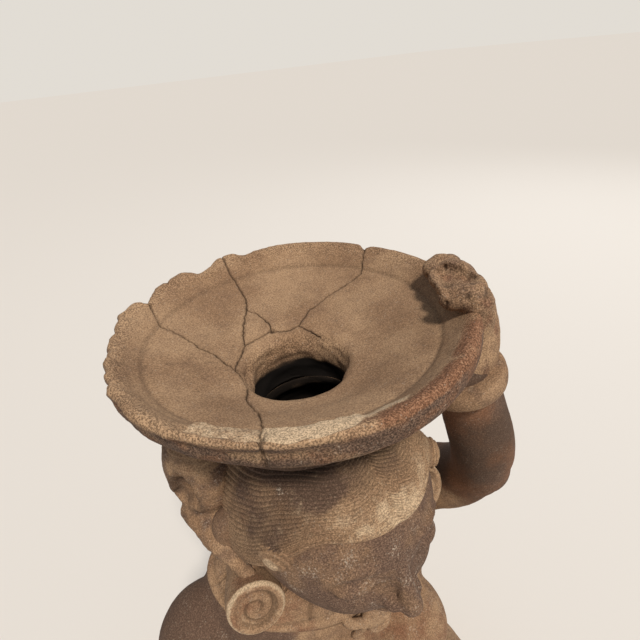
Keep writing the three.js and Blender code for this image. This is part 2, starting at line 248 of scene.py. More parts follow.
def brokenInto(piece, hollows, first, second):  # rough hollows, whose waves change from one to the next
    for number, (centre, half, turn) in enumerate(hollows):
        cutter = egg(centre, half, turn, 40, 28)
        roughened(cutter, [(height, size, seed + number) for height, size, seed in (first, second)])
        cutAway(piece, cutter)


def turned(points, spacing, steps, name):  # spins a smooth section of radius and drop about the dish's axis
    points = np.asarray(points, float)
    stretches = len(points) - 1
    section = []
    for i, apart in enumerate(np.broadcast_to(spacing, stretches)):
        count = max(1, round(np.linalg.norm(points[i + 1] - points[i]) / apart))
        for k in range(count):
            t = (i + k / count) / stretches
            section.append((through(points[:, 0], t), through(points[:, 1], t)))
    section.append(tuple(points[-1]))
    piece = added(bpy.ops.mesh.primitive_plane_add, name, size=0.001, location=(0, 0, 0))
    bpy.ops.object.mode_set(mode="EDIT")
    bpy.ops.mesh.select_mode(type="VERT")
    bpy.ops.mesh.select_all(action="SELECT")
    bpy.ops.mesh.merge(type="CENTER")
    bpy.ops.transform.translate(value=spot(section[0][0], 0, section[0][1]))
    for (r0, d0), (r1, d1) in zip(section[:-1], section[1:]):
        bpy.ops.mesh.extrude_region_move(
            TRANSFORM_OT_translate={"value": ((r1 - r0) / 1000, 0, (d0 - d1) / 1000)})
    bpy.ops.mesh.select_all(action="SELECT")
    bpy.ops.mesh.spin(steps=steps, angle=2 * math.pi, center=spot(0, 0, 0), axis=(0, 0, 1))
    bpy.ops.object.mode_set(mode="OBJECT")
    facedOut(piece, 0.00002)
    return piece


def ball(segments, rings, name):  # with each point's place on it, ring number and angle
    piece = added(bpy.ops.mesh.primitive_uv_sphere_add, name, segments=segments, ring_count=rings, radius=1)
    places = readRows(piece.data.vertices, "co")
    ring = np.round(np.arccos(np.clip(places[:, 2], -1, 1)) / math.pi * rings)
    return piece, places, ring, np.arctan2(places[:, 1], places[:, 0])


def sheet(columns, rows, name):  # with each point's place across from -1 to 1 and along from 0 to 1
    piece = added(bpy.ops.mesh.primitive_grid_add, name, x_subdivisions=columns, y_subdivisions=rows, size=2)
    places = readRows(piece.data.vertices, "co")
    return piece, places[:, 0], (1 - places[:, 1]) / 2


def refine(piece, near):  # subdivides the faces near chosen points
    pick(piece)
    faces = piece.data.polygons
    loops = np.empty(len(piece.data.loops), int)
    piece.data.loops.foreach_get("vertex_index", loops)
    starts = np.empty(len(faces), int)
    faces.foreach_get("loop_start", starts)
    chosen = np.maximum.reduceat(near[loops].astype(int), starts) > 0
    for points in (piece.data.vertices, piece.data.edges):
        points.foreach_set("select", np.zeros(len(points), bool))
    faces.foreach_set("select", chosen)
    bpy.ops.object.mode_set(mode="EDIT")
    bpy.ops.mesh.select_mode(type="FACE")
    bpy.ops.mesh.subdivide(number_cuts=1, smoothness=0)
    bpy.ops.object.mode_set(mode="OBJECT")


# camera, light and floor
view = {
    "place": (-90.196, -187.763, -114.676), "azimuth": -30, "pitch": 30.7728, "roll": 6.2472,
    "lens": 24.975, "filmWidth": 36, "nearest": 0.01,
}
lighting = {
    "aimedAt": (0, -20, 60), "sunFrom": (-0.08, -0.57, 0.82), "sunPower": 3.0, "sunSpread": 9,
    "sunColour": (1, 0.93, 0.84), "fillFrom": (0.8, 0.25, 0.55), "fillAway": 2.2, "fillSize": 1.8,
    "fillPower": 9, "fillColour": (0.93, 0.96, 1), "room": (0.9, 0.93, 1.0, 1), "roomStrength": 0.3,
    "beyond": (0.76, 0.72, 0.66, 1), "paper": (0.72, 0.69, 0.65, 1), "paperSize": 60,
}


def makeCamera():
    print("placing the camera")
    camera = bpy.data.objects.new("camera", bpy.data.cameras.new("camera"))
    bpy.context.scene.collection.objects.link(camera)
    camera.data.lens = view["lens"]
    camera.data.sensor_width = view["filmWidth"]
    camera.data.clip_start = view["nearest"]
    turn = (Matrix.Rotation(math.radians(view["azimuth"]), 4, "Z")
            @ Matrix.Rotation(math.radians(90 - view["pitch"]), 4, "X")
            @ Matrix.Rotation(math.radians(-view["roll"]), 4, "Z"))
    camera.matrix_world = Matrix.Translation(spot(*view["place"])) @ turn
    bpy.context.scene.camera = camera


def makeLamp(name, kind, towards, distance, power, colour):
    light = bpy.data.lights.new(name, kind)
    light.energy = power
    light.color = colour
    lamp = bpy.data.objects.new(name, light)
    bpy.context.scene.collection.objects.link(lamp)
    away = Vector(towards).normalized()
    lamp.location = spot(*lighting["aimedAt"]) + away * distance
    lamp.rotation_euler = away.to_track_quat("Z", "Y").to_euler()
    return light


def makeStage():
    print("placing the lamps and the floor")
    sun = makeLamp("keyLight", "SUN", lighting["sunFrom"], 2, lighting["sunPower"], lighting["sunColour"])
    sun.angle = math.radians(lighting["sunSpread"])
    fill = makeLamp("fillLight", "AREA", lighting["fillFrom"], lighting["fillAway"], lighting["fillPower"],
                    lighting["fillColour"])
    fill.shape = "DISK"
    fill.size = lighting["fillSize"]
    world = bpy.data.worlds.new("room")
    world.use_nodes = True
    tree = world.node_tree
    make = nodeMaker(tree)
    shining = tree.nodes["Background"]
    shining.inputs["Color"].default_value = lighting["room"]
    shining.inputs["Strength"].default_value = lighting["roomStrength"]
    seen = make("ShaderNodeBackground", {"Color": lighting["beyond"], "Strength": 1.0})
    isSeen = make("ShaderNodeLightPath").outputs["Is Camera Ray"]
    mixed = make("ShaderNodeMixShader", {0: isSeen, 1: shining.outputs[0], 2: seen.outputs[0]})
    tree.links.new(mixed.outputs[0], tree.nodes["World Output"].inputs["Surface"])
    bpy.context.scene.world = world
    bpy.context.scene.view_settings.view_transform = "Standard"
    floor = added(bpy.ops.mesh.primitive_plane_add, "floor", size=lighting["paperSize"],
                  location=(0, 0, -0.0005))
    paper = bpy.data.materials.new("palePaper")
    paper.use_nodes = True
    shader = paper.node_tree.nodes["Principled BSDF"]
    shader.inputs["Base Color"].default_value = lighting["paper"]
    shader.inputs["Roughness"].default_value = 1.0
    shader.inputs["Specular IOR Level"].default_value = 0.0
    floor.data.materials.append(paper)


# fired clay, its colours, and its kinds by two colours, grain, mottle and speck
clay = {
    "tan": (0.345, 0.222, 0.13, 1), "brown": (0.24, 0.145, 0.083, 1), "red": (0.205, 0.1, 0.055, 1),
    "pale": (0.52, 0.385, 0.25, 1), "dark": (0.05, 0.032, 0.021, 1), "ash": (0.50, 0.42, 0.33, 1),
    # soot is the near black of painted shade inside the hollow throat and head
    "plum": (0.135, 0.082, 0.057, 1), "soot": (0.006, 0.004, 0.003, 1),
}
clayKinds = {
    "dishClay": ("tan", "brown", 1.0, 0.22, 0.36), "faceClay": ("brown", "brown", 1.0, 0.3, 0.42),
    "hairClay": ("tan", "brown", 1.0, 0.25, 0.42), "plugClay": ("tan", "brown", 1.0, 0.3, 0.4),
    "skinClay": ("tan", "brown", 1.1, 0.5, 0.36), "handClay": ("brown", "tan", 1.0, 0.4, 0.45),
    "collarClay": ("tan", "brown", 1.0, 0.45, 0.4), "clothClay": ("tan", "brown", 1.3, 0.5, 0.35),
}
# painted masks in the order they are laid on, by how ragged their edge is and its size
paint = {"red": (0.4, 9.0), "plum": (0.3, 8.0), "pale": (0.4, 3.5), "ash": (0.7, 1.1)}


def nodeMaker(tree):
    def make(kind, links=None, **values):
        node = tree.nodes.new(kind)
        for name, value in values.items():
            setattr(node, name, value)
        for socket, source in (links or {}).items():
            if hasattr(source, "is_linked"):
                tree.links.new(source, node.inputs[socket])
            else:
                node.inputs[socket].default_value = source
        return node
    return make


def firedClay(name, base, second, grain, mottle, speck):
    material = bpy.data.materials.new(name)
    material.use_nodes = True
    tree = material.node_tree
    make = nodeMaker(tree)
    shader = tree.nodes["Principled BSDF"]
    shader.inputs["Roughness"].default_value = 0.92
    shader.inputs["Specular IOR Level"].default_value = 0.22
    place = make("ShaderNodeTexCoord").outputs["Object"]

    def noise(size, detail=4.0, rough=0.55):
        return make("ShaderNodeTexNoise", {"Vector": place, "Scale": 1000 / size, "Detail": detail,
                                           "Roughness": rough}).outputs["Fac"]

    def stretch(value, low, high, to=1.0):
        return make("ShaderNodeMapRange", {"Value": value, "From Min": low, "From Max": high, "To Min": 0.0,
                                           "To Max": to}, interpolation_type="SMOOTHSTEP").outputs["Result"]

    def mix(amount, first, then):
        return make("ShaderNodeMix", {0: amount, 6: first, 7: then}, data_type="RGBA").outputs[2]

    def times(first, then):
        return make("ShaderNodeMath", {0: first, 1: then}, operation="MULTIPLY").outputs[0]

    def plus(first, then):
        return make("ShaderNodeMath", {0: first, 1: then}, operation="ADD").outputs[0]

    def mask(attribute):
        return make("ShaderNodeAttribute", attribute_name=attribute).outputs["Fac"]

    colour = mix(stretch(noise(38, 5.0), 0.35, 0.65), clay[base], clay[second])
    colour = mix(times(stretch(noise(9, 6.0, 0.6), 0.42, 0.68), mottle), colour, clay["plum"])
    colour = mix(times(stretch(noise(14, 5.0, 0.6), 0.5, 0.75), mottle * 0.8), colour, clay["tan"])
    for kind, (ragged, size) in paint.items():  # each mask's edge follows the clay's grain
        edge = times(plus(noise(size, 5.0, 0.65), -0.5), ragged * 2)
        amount = times(stretch(plus(mask(kind), edge), 0.3, 0.7), stretch(mask(kind), 0.02, 0.2))
        colour = mix(amount, colour, clay[kind])
    fine = noise(0.78 * grain, 2.0, 0.7)
    speckled = plus(mask("coarse"), speck)
    uneven = times(plus(stretch(fine, 0.36, 0.64), -0.47), times(speckled, 1.5))
    colour = make("ShaderNodeVectorMath", {"Vector": colour, "Scale": plus(uneven, 1.0)},
                  operation="SCALE").outputs["Vector"]
    colour = mix(times(stretch(fine, 0.57, 0.66), times(speckled, 0.4)), colour, clay["pale"])
    dots = make("ShaderNodeTexVoronoi", {"Vector": place, "Scale": 1000 / (1.2 * grain)}, feature="F1")
    chance = make("ShaderNodeSeparateColor", {"Color": dots.outputs["Color"]})
    close = stretch(dots.outputs["Distance"], 0.36, 0.2)
    colour = mix(times(close, stretch(chance.outputs["Red"], 0.88, 0.92, 0.35)), colour, clay["ash"])
    colour = mix(times(close, stretch(chance.outputs["Green"], 0.88, 0.92, 0.5)), colour, clay["dark"])
    # dark is dirt in cracks on some pieces and painted shade on others; soot is painted shade in the hollow
    for kind in ("dark", "soot"):
        colour = mix(mask(kind), colour, clay[kind])
    tree.links.new(colour, shader.inputs["Base Color"])

    bump = make("ShaderNodeBump", {"Height": fine, "Strength": 0.5, "Distance": 0.00035 * grain})
    bump = make("ShaderNodeBump", {"Height": noise(2.6, 4.0, 0.6), "Strength": 0.5, "Distance": 0.0007,
                                   "Normal": bump.outputs["Normal"]})
    tree.links.new(bump.outputs["Normal"], shader.inputs["Normal"])


def finished(piece, clayKind):
    pick(piece)
    piece.data.materials.clear()
    piece.data.materials.append(bpy.data.materials[clayKind])
    bpy.ops.object.shade_smooth()
    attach(piece, "root")
    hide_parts("terracotta_woman")
    print("made", piece.name, len(piece.data.polygons), "faces")


# the dish, its worn rim and its cracks
dish = {
    "section": [(27.2, 58), (26.4, 46), (26.1, 38), (26.8, 33), (27.9, 29), (29.4, 26.4), (31.8, 25),
                (35.2, 24.1), (42, 22.3), (50, 20), (60, 17.1), (70, 14.1), (77, 12), (79.4, 11.4),
                (81.2, 9.7), (84, 7.3), (87.5, 4.3), (90.3, 2.2), (92.5, 0.7), (94.6, 0.1), (96.4, 0.9),
                (97.6, 2.8), (98, 6), (97.8, 10), (96.6, 14.2), (93.5, 18), (88, 22.4), (80, 28.2), (73, 33.2),
                (65, 41), (61.5, 46.5), (60, 50), (45, 56), (27.2, 58)],
    "spacing": [2, 1.6, 1.3, 1.1, 1, 0.9, 0.9, 1, 1.1, 1.1, 1.1, 1.1, 0.9, 0.6, 0.7, 0.8, 0.8, 0.8, 0.8, 0.7,
                0.7, 0.7, 0.9, 0.9, 1, 1.3, 1.8, 2, 2.4, 2, 2, 4, 6],
    "steps": 360, "throatShift": (-6, -13, 0), "rim": (84, 93), "stepEdge": 79.6,
    # what is broken off the rim's edge, by the angle round the dish
    "edge": [(24, 1), (26.5, 0.5), (33, -0.5), (45, -1), (58, -1), (68, 0.5), (75, 1.8), (81, 4), (84, 1),
             (86.5, -1), (91, -0.5), (96, 3.4), (102, 6), (105.5, 1.6), (109, -1.4), (113, -1.2),
             (115.8, 1.6), (117.5, -1), (121, -0.6), (125, 2), (129.5, 4), (131.4, -0.5), (132, -2.5),
             (136, -2.6), (140, -3.6), (142, -0.6), (147, 0.4), (151.5, 2.6), (154, 1.4), (158, 1.8),
             (160, 3.4), (164.5, 3.6), (167, 2.4), (172, 3.6), (174, 2.2), (180, 3.4), (184, 1.4), (190, 2.6),
             (198, 0.8), (206, 1.2), (214, 0)],
    "slim": {"angle": -144, "width": 34, "depth": 3.8},
    "notch": (27.2, 2.4), "rimCrack": (-125.9, 1.4),  # angle and depth
    "fineNearCracks": (2.2, 1.1), "crackWidth": 0.27, "crackDepth": 1.5, "shardRise": 0.35,
    "skin": [(0.55, 26, 1), (0.24, 8, 2), (0.09, 2.7, 4)], "brokenSkin": [(1, 3.4, 5), (0.8, 1.7, 6)],
}
flake = {  # where the front of the rim is flaked off in a broad rough plane
    "from": -147, "steeper": (-128, -122), "split": -124, "to": -103, "tail": -86, "tailRadius": 87,
    "inner": 70, "outer": 95, "radii": (70, 75, 80, 86, 92, 96), "heights": (-12.5, -9, -6.4, -4, -3, -4.5),
}
cracks = {
    "left": [(-69, 81), (-57.8, 67.7), (-58, 59.2), (-57.9, 52.1), (-53.6, 46.4), (-48.6, 36.4),
             (-44.7, 25.9), (-41, 19.8), (-39.7, 17.3), (-38.3, 10.3), (-35.9, 2.9), (-31, -2)],
    "back": [(1.5, 102), (0.2, 91), (-0.1, 83.7), (0.4, 78.2), (-0.9, 66.7), (-2.3, 56.6), (-6.9, 47.5),
             (-13.1, 37.8), (-18.5, 28.4), (-22.3, 18.7), (-28.7, 11.3), (-35.9, 2.5)],
    "chipSide": [(-6.9, 47.5), (-3, 41.6), (-1, 33.8), (-1.4, 26.8), (-2.5, 22.5)],
    "chipFoot": [(-22.3, 18.7), (-18.4, 19.8), (-11.9, 21.1), (-5.3, 22.3), (-2.5, 22.5)],
    "right": [(-2.5, 22.5), (2, 18.5), (7.2, 16.8), (12.8, 16.6), (24.1, 23.9), (39.9, 26.8), (51.6, 27.5),
              (61.2, 27.2), (69.5, 28.2), (78.7, 37.4), (90, 48.5)],
    "throat": [(12.8, 16.6), (16.9, 5.2), (19.7, -1.8), (20.5, -7.1), (20, -12.8)],
    "front": [(-35.9, 2.5), (-34.4, -3.6), (-35.8, -14), (-41.3, -24.3), (-42.6, -35.8), (-42.6, -42.6),
              (-45.4, -51.6), (-48.4, -59.6), (-53, -70), (-58.2, -79.1), (-63, -87)],
}
faintCrack = [(-77.5, 19.9), (-65.7, 16.3), (-61.6, 16.9), (-52, 15), (-41.2, 11.2)]
gap = (-2.5, 22.6)  # the small hole where the chip's cracks meet


def awayFrom(angles, centre):
    return (angles - centre + 180) % 360 - 180


def throatMoved(places):  # the throat lies off the dish's middle
    shift = 1 - ramp(np.hypot(places[:, 0], places[:, 1]), 29, 80)
    return places + shift[:, None] * dish["throatShift"]


def fromCracks(flat):
    return np.min([fromLine(flat, line) for line in cracks.values()], axis=0)


def jagged(places):
    wide = np.stack([lumps(places, 2.6, 31), lumps(places, 2.6, 32)], 1)
    narrow = np.stack([lumps(places, 1.3, 33), lumps(places, 1.3, 34)], 1)
    return places[:, :2] + 0.5 * wide + 0.25 * narrow


def angleOfCrack(name, r):  # the way a crack runs round the dish, by radius
    line = np.array(cracks[name])
    radii, angles = np.hypot(*line.T), np.degrees(np.unwrap(np.arctan2(line[:, 1], line[:, 0])))
    order = np.argsort(radii)
    return np.interp(r, radii[order], angles[order]) % 360


def makeDish():
    piece = turned(dish["section"], dish["spacing"], dish["steps"], "dish")
    for reach in dish["fineNearCracks"]:
        places = readPlaces(piece)
        refine(piece, (fromCracks(throatMoved(places)[:, :2]) < reach) & (places[:, 2] > -30))
    places = readPlaces(piece)
    r, angle = np.hypot(places[:, 0], places[:, 1]), np.degrees(np.arctan2(places[:, 1], places[:, 0]))
    drop = -places[:, 2]
    atRim = ramp(r, *dish["rim"])
    places = throatMoved(places)
    outward = np.stack([np.cos(np.radians(angle)), np.sin(np.radians(angle)), np.zeros(len(r))], 1)

    # the rim's worn and bitten edge
    rim = atRim * (1 - ramp(drop, 9, 22))
    around, depths = np.array(dish["edge"], float).T
    worn = np.interp((angle + 0.7 * lumps(places, 4, 3)) % 360, around, depths, left=0, right=0)
    worn = (worn + 0.5 * lumps(places, 5, 13) * bell(awayFrom(angle, 140), 55)) * rim
    bitten = np.clip(worn / 3, 0, 1)
    places -= outward * worn[:, None]
    places[:, 2] -= 0.5 * np.maximum(worn, 0) + rim * 0.8 * np.sin(np.radians(3 * angle) + 0.6)
    slim = dish["slim"]["depth"] * bell(awayFrom(angle, dish["slim"]["angle"]), dish["slim"]["width"])
    places -= outward * (slim * ramp(drop, 1, 8) * atRim)[:, None]

    # the flake and its tail
    ragged = angle + 2.5 * lumps(places, 7, 17) + 1.2 * lumps(places, 3, 18)
    across = ramp(ragged, flake["from"] - 2, flake["from"] + 2)
    across *= 1 - ramp(ragged, flake["to"] - 3, flake["to"] + 3)
    reach = r + 1.6 * lumps(places, 6, 19)
    steeper = ramp(angle, *flake["steeper"])
    far = flake["outer"] - 7 * ramp(angle, flake["split"], flake["tail"]) - 2.5 * (1 - steeper)
    band = ramp(reach, flake["inner"] - 1, flake["inner"] + 2) * (1 - ramp(reach, far - 1.5, far + 1.5))
    flaked = across * band * (1 - ramp(drop, 9, 12))
    tail = ramp(angle, flake["to"] - 4, flake["to"]) * (1 - ramp(angle, flake["tail"] - 5, flake["tail"] + 6))
    tail = tail * bell(reach - flake["tailRadius"], 3.5) * (drop < 8)
    places[:, 2] += flaked * 0.9 * (np.interp(r, flake["radii"], flake["heights"]) - places[:, 2])
    places += outward * (across * -1.2 * ramp(r, 93, 97) * (1 - ramp(drop, 6, 12)))[:, None]
    writePlaces(piece, places)

    # uneven clay, then the cracks
    skin = waves(places, dish["skin"])
    skin += (0.42 * flaked + 0.12 * rim + 0.3 * bitten + 0.25 * tail) * waves(places, dish["brokenSkin"])
    inThroat = ramp(r, 32, 28.5) * ramp(drop, 25, 30)
    skin += 1.5 * inThroat * lumps(places * (0.5, 0.5, 1.6), 9, 7)
    skin += 0.7 * inThroat * lumps(places * (0.6, 0.6, 1.6), 4, 8)
    upperFace = ramp(drop, 30, 26)
    fromRight, fromBack = angle % 360 - angleOfCrack("right", r), angle % 360 - angleOfCrack("back", r)
    backShard = ramp(r, 28, 32) * ramp(fromRight, 0, 1) * (1 - ramp(fromBack, -1, 0))
    skin += upperFace * backShard * dish["shardRise"]
    near = fromCracks(jagged(places))
    faint = bell(fromLine(places[:, :2], faintCrack), 0.6) * upperFace * (lumps(places, 9, 9) > -0.3)
    hole = bell(np.hypot(places[:, 0] - gap[0], places[:, 1] - gap[1]), 1.5) * upperFace
    notch = ramp(r, 86, 92) * bell(awayFrom(angle, dish["notch"][0]), 1.5) * upperFace
    side = bell(awayFrom(angle, dish["rimCrack"][0]) + 0.5 * lumps(places, 3, 12), 0.45)
    side *= ramp(r, 84, 90) * (1 - ramp(drop, 14, 24))
    depth = upperFace * (dish["crackDepth"] * bell(near, dish["crackWidth"]) + 0.22 * bell(near, 1.3))
    depth += 0.3 * faint + 3 * hole + dish["notch"][1] * notch + dish["rimCrack"][1] * side * ramp(drop, 3, 6)
    pushed(piece, skin - depth)

    # dirt in the cracks, red wash and plum outside, pale breaks, and painted shade deep in the throat
    places = readPlaces(piece)
    grit = lumps(places, 6, 14)
    outer = ramp(r + 1.1 * np.clip(drop - 9, 0, 30), 93, 96.5) * ramp(drop, 0.5, 4)
    outer *= 1 - ramp(drop + 3 * lumps(places, 12, 21), 16, 32)
    wash = outer * (1 - flaked)
    lip = ramp(r, 88, 92) * (1 - ramp(drop, 3, 7)) * (0.25 + 0.75 * bitten)
    underside = ramp(drop, 16, 26) * ramp(r, 40, 60)
    painted(
        piece,
        dark=np.maximum.reduce([0.9 * bell(near, 0.36) * upperFace, 0.4 * faint, hole, 0.8 * side,
                                0.3 * bell(near, 1.1) * upperFace,
                                0.25 * bell(r - dish["stepEdge"], 1.2) * upperFace,
                                0.42 * wash * bell(awayFrom(angle, -128), 48), 0.2 * wash, 0.35 * underside]),
        red=np.maximum(outer * (0.5 + 0.3 * grit),
                       atRim * (0.85 + 0.3 * grit) * bell(awayFrom(angle, -75), 38)),
        plum=0.7 * underside + outer * (0.55 + 0.4 * lumps(places * (1, 1, 2.2), 9, 16)),
        pale=np.maximum.reduce([flaked * (0.52 + 0.6 * steeper), 0.75 * tail,
                                0.3 * lip * ramp(grit, -0.5, 0.6), 0.25 * bell(r - 31, 5) * upperFace]),
        ash=outer * (0.12 + 0.3 * lumps(places, 2.5, 15)) + 0.3 * lip * ramp(grit, 0.1, 0.6) + 0.35 * tail,
        coarse=np.maximum.reduce([0.25 * flaked, 0.35 * rim * (1 - flaked), 0.45 * wash, 0.35 * inThroat]),
        # painted shade: the throat is painted near black below its rounded top
        soot=ramp(drop + 1.6 * lumps(places, 8, 20), 39.5, 42.5) * ramp(r, 45, 35),
    )
    finished(piece, "dishClay")


# the head, hollow under the dish
head = {
    "centre": (-4, -27, 110), "half": (58, 67, 66), "jaw": 0.18, "cell": 1.27,
    "chamber": (44, 44, 46), "chamberCentre": (-3, -17, 97), "throat": 24.5, "throatDrop": 42,
    "skin": [(0.35, 16, 21), (0.2, 6, 22), (0.1, 2.6, 23)],
}
hairline = {"frontY": -86, "frontDrop": 76, "backY": 26, "backDrop": 157}
hairSlope = (hairline["backDrop"] - hairline["frontDrop"]) / (hairline["backY"] - hairline["frontY"])

# the face, set out in even thirds: rows are x, forward of the face's foremost level, drop and radius
eye, nose, mouth, chin = 114, 134, 144, 160
eyeSpread = 22
face = {
    "ridge": [(0, -5, eye - 11, 3.6), (0, 0, eye, 4.2), (0, 3.5, nose - 11, 5.4), (0, 6, nose - 3.5, 6.4)],
    "noseTip": [(0, 3, nose - 4, 5.5), (0, -3, nose, 4.4)],
    "upperLip": [(-15, -10.5, mouth - 0.8, 1.2), (-7, -7.2, mouth - 1.3, 2.8), (0, -6.2, mouth - 0.2, 2.6),
                 (7, -7.2, mouth - 1.3, 2.8), (15, -10.5, mouth - 0.8, 1.2)],
    "lowerLip": [(-13, -10.5, mouth + 1.4, 1.4), (0, -6.6, mouth + 5.2, 3.6), (13, -10.5, mouth + 1.4, 1.4)],
}
brow = [(5, -3, eye - 11, 1.6), (20, -5.2, eye - 17, 2.3), (37, -15, eye - 11, 1.4)]
nostril = {"wing": (7.4, -1, nose - 3.4), "wingHalf": (4.6, 6.2, 4.2), "hole": (5.2, 1.5, nose)}
eyeball = {"place": (eyeSpread, -12.6, eye), "half": (12.8, 8.4, 7), "turn": 14}
lidSlit = [(10.5, eye + 1.4), (16, eye + 3), (22.5, eye + 3.8), (29, eye + 2.8), (34.5, eye + 0.6)]
lidCrease = [(10.5, eye - 3.5), (16, eye - 6.6), (22.5, eye - 7.7), (30, eye - 6.2), (36, eye - 2)]
mouthLine = [(0, mouth + 2.4), (7, mouth + 1.5), (15.5, mouth + 0.5)]


def headShape(directions, proud):  # the head's egg, its jaw narrowed, grown by a thickness
    low = np.clip(-directions[:, 2], 0, 1)
    places = directions * (np.array(head["half"]) + proud)
    places[:, 0] *= 1 - head["jaw"] * low ** 1.5
    places[:, 1] *= 1 - 0.05 * low
    return places + (head["centre"][0], head["centre"][1], -head["centre"][2])


def cutHollow(piece, margin):  # the hollow of the head and the throat over it
    chamber = egg(head["chamberCentre"], [h + margin for h in head["chamber"]], segments=56, rings=36)
    throat = added(bpy.ops.mesh.primitive_cylinder_add, "throat", vertices=72, depth=0.07,
                   radius=(head["throat"] + 1 + margin) / 1000,
                   location=spot(*dish["throatShift"][:2], head["throatDrop"]))
    cutter = fused([chamber, throat], "cutter", 2, 6)
    places = readPlaces(cutter)
    pushed(cutter, 0.7 * lumps(places * (1, 1, 2.4), 14, 41) + 0.4 * lumps(places * (1, 1, 3), 6, 42))
    cutAway(piece, cutter)


def fromHollow(places, margin):  # past the chamber's wall, in shares of its size, and past the throat's
    x, y, drop = head["chamberCentre"]
    chamber = np.linalg.norm((places - (x, y, -drop)) / (np.array(head["chamber"]) + margin), axis=1) - 1
    return chamber, np.hypot(*(places - dish["throatShift"])[:, :2].T) - head["throat"]


def onFace(x, forward, drop):
    return (head["centre"][0] + x, head["centre"][1] - head["half"][1] - forward, drop)


def feature(rows, side=1):
    return limb([(*onFace(side * x, forward, drop), radius) for x, forward, drop, radius in rows])


def makeHead():
    skull, directions, _, _ = ball(170, 120, "skull")
    places = headShape(directions, 0)
    drop = -places[:, 2]
    side = np.abs(places[:, 0] - head["centre"][0])
    low = np.clip((drop - head["centre"][2]) / head["half"][2], 0, 0.98)
    full = np.sqrt((1 - low ** 3.2) / (1 - low ** 2))
    relief = 4.5 * bell(side - eyeSpread, 13) * bell(drop - eye, 9)
    relief -= 2.2 * bell(side - 29, 15) * bell(drop - nose, 14)
    relief += 2.0 * bell(side, 16) * bell(drop - mouth - 10, 4) - 5.5 * bell(side, 16) * bell(drop - chin, 9)
    relief += 1.2 * bell(side - 17, 5) * bell(drop - mouth - 1, 8)
    forward = (places[:, 1] - head["centre"][1]) * (full - 1) + relief
    places[:, 1] += np.where(places[:, 1] < head["centre"][1], forward, 0)
    writePlaces(skull, places)
    parts = [skull] + [feature(rows) for rows in face.values()]
    for side in (-1, 1):
        x, forward, drop = nostril["wing"]
        parts.append(egg(onFace(side * x, forward, drop), nostril["wingHalf"]))
        x, forward, drop = eyeball["place"]
        parts.append(egg(onFace(side * x, forward, drop), eyeball["half"], (0, 0, side * eyeball["turn"])))
        parts.append(feature(brow, side))
    piece = fused(parts, "head", head["cell"], 5)

    places = readPlaces(piece)
    drop = -places[:, 2]
    flat = np.stack([np.abs(places[:, 0] - head["centre"][0]), drop], 1)
    carve = 1.4 * bell(fromLine(flat, lidSlit), 0.9) + 0.9 * bell(fromLine(flat, lidCrease), 1.3)
    carve += 1.6 * bell(fromLine(flat, mouthLine), 1.0)
    carve += 0.8 * bell(np.hypot(flat[:, 0], drop - nose - 4), 2.2)
    fromHole = np.hypot(flat[:, 0] - nostril["hole"][0], places[:, 1] - onFace(*nostril["hole"])[1])
    carve += 2 * bell(fromHole, 2.1) * bell(drop - nose - 1.5, 4)
    front = places[:, 1] < head["centre"][1] - 28
    pushed(piece, waves(places, head["skin"]) - np.where(front, carve, 0))
    cutHollow(piece, 0)

    places = readPlaces(piece)
    drop = -places[:, 2]
    inside, inThroat = fromHollow(places, 0)
    within = np.maximum(1 - ramp(inside, 0.02, 0.06), (1 - ramp(inThroat, 1.5, 3)) * (drop < 75))
    flat = np.stack([np.abs(places[:, 0] - head["centre"][0]), drop], 1)
    front = ramp(head["centre"][1] - places[:, 1], 8, 34)
    # noseShadow is the nose's shadow on the cheek, painted as shade
    noseShadow = 0.125 * bell(flat[:, 0] - 26, 12) * bell(drop - nose + 4, 11) * front
    # painted shade: dark in the eye slits and mouth line, the nose's shadow and the shade under the jaw; soot
    # paints the hollow near black as painted shade
    painted(
        piece,
        dark=np.maximum.reduce([0.6 * bell(fromLine(flat, lidSlit), 0.8) * front,
                                0.6 * bell(fromLine(flat, mouthLine), 0.9) * front,
                                0.35 * ramp(drop, 150, 168), noseShadow]),
        plum=(0.62 + 0.25 * lumps(places, 14, 25)) * front,
        red=0.25 * front * ramp(lumps(places, 7, 24), 0, 0.7),
        pale=0.22 * front * ramp(lumps(places, 9, 27), 0, 0.7),
        ash=front * (0.2 + 0.22 * lumps(places, 7, 26)),
        coarse=0.1 * front,
        soot=0.97 * within * (1 - 0.12 * ramp(lumps(places, 11, 28), 0.35, 0.6)),
    )
    finished(piece, "faceClay")


# hair, parted in the middle and combed down to a curl at each temple
hair = {
    "columns": 280, "capRings": 8, "combRings": 156, "edgeRings": 14, "innerRings": 8, "thick": 6.5,
    "topDrop": 46, "heartDrop": 105, "edgeThick": 3.9,
    "lines": 26, "combDepth": 1.05, "lockLines": 5.3, "lockDepth": 0.45,
    "skin": [(0.5, 18, 53), (0.14, 4, 54)], "ashSpot": (-45.6, -53.1, -58),
}


def hairSkin(azimuth, drop):  # a point of the hair's mass at an angle from the face's front
    rise = np.clip((drop - head["centre"][2]) / (head["half"][2] + hair["thick"]), -0.999, 0.999)
    wide = np.sqrt(1 - rise ** 2)
    return headShape(np.stack([np.sin(azimuth) * wide, -np.cos(azimuth) * wide, -rise], 1), hair["thick"])


def hairlineDrop(azimuth):
    drop = np.full(len(azimuth), 95.0)
    for _ in range(25):
        y = hairSkin(azimuth, drop)[:, 1]
        drop = 0.5 * drop + 0.5 * (hairline["frontDrop"] + (y - hairline["frontY"]) * hairSlope)
    degrees = np.degrees(azimuth)
    return drop - 7 * bell(np.abs(degrees) - 42, 17) + 1.5 * bell(degrees, 14)


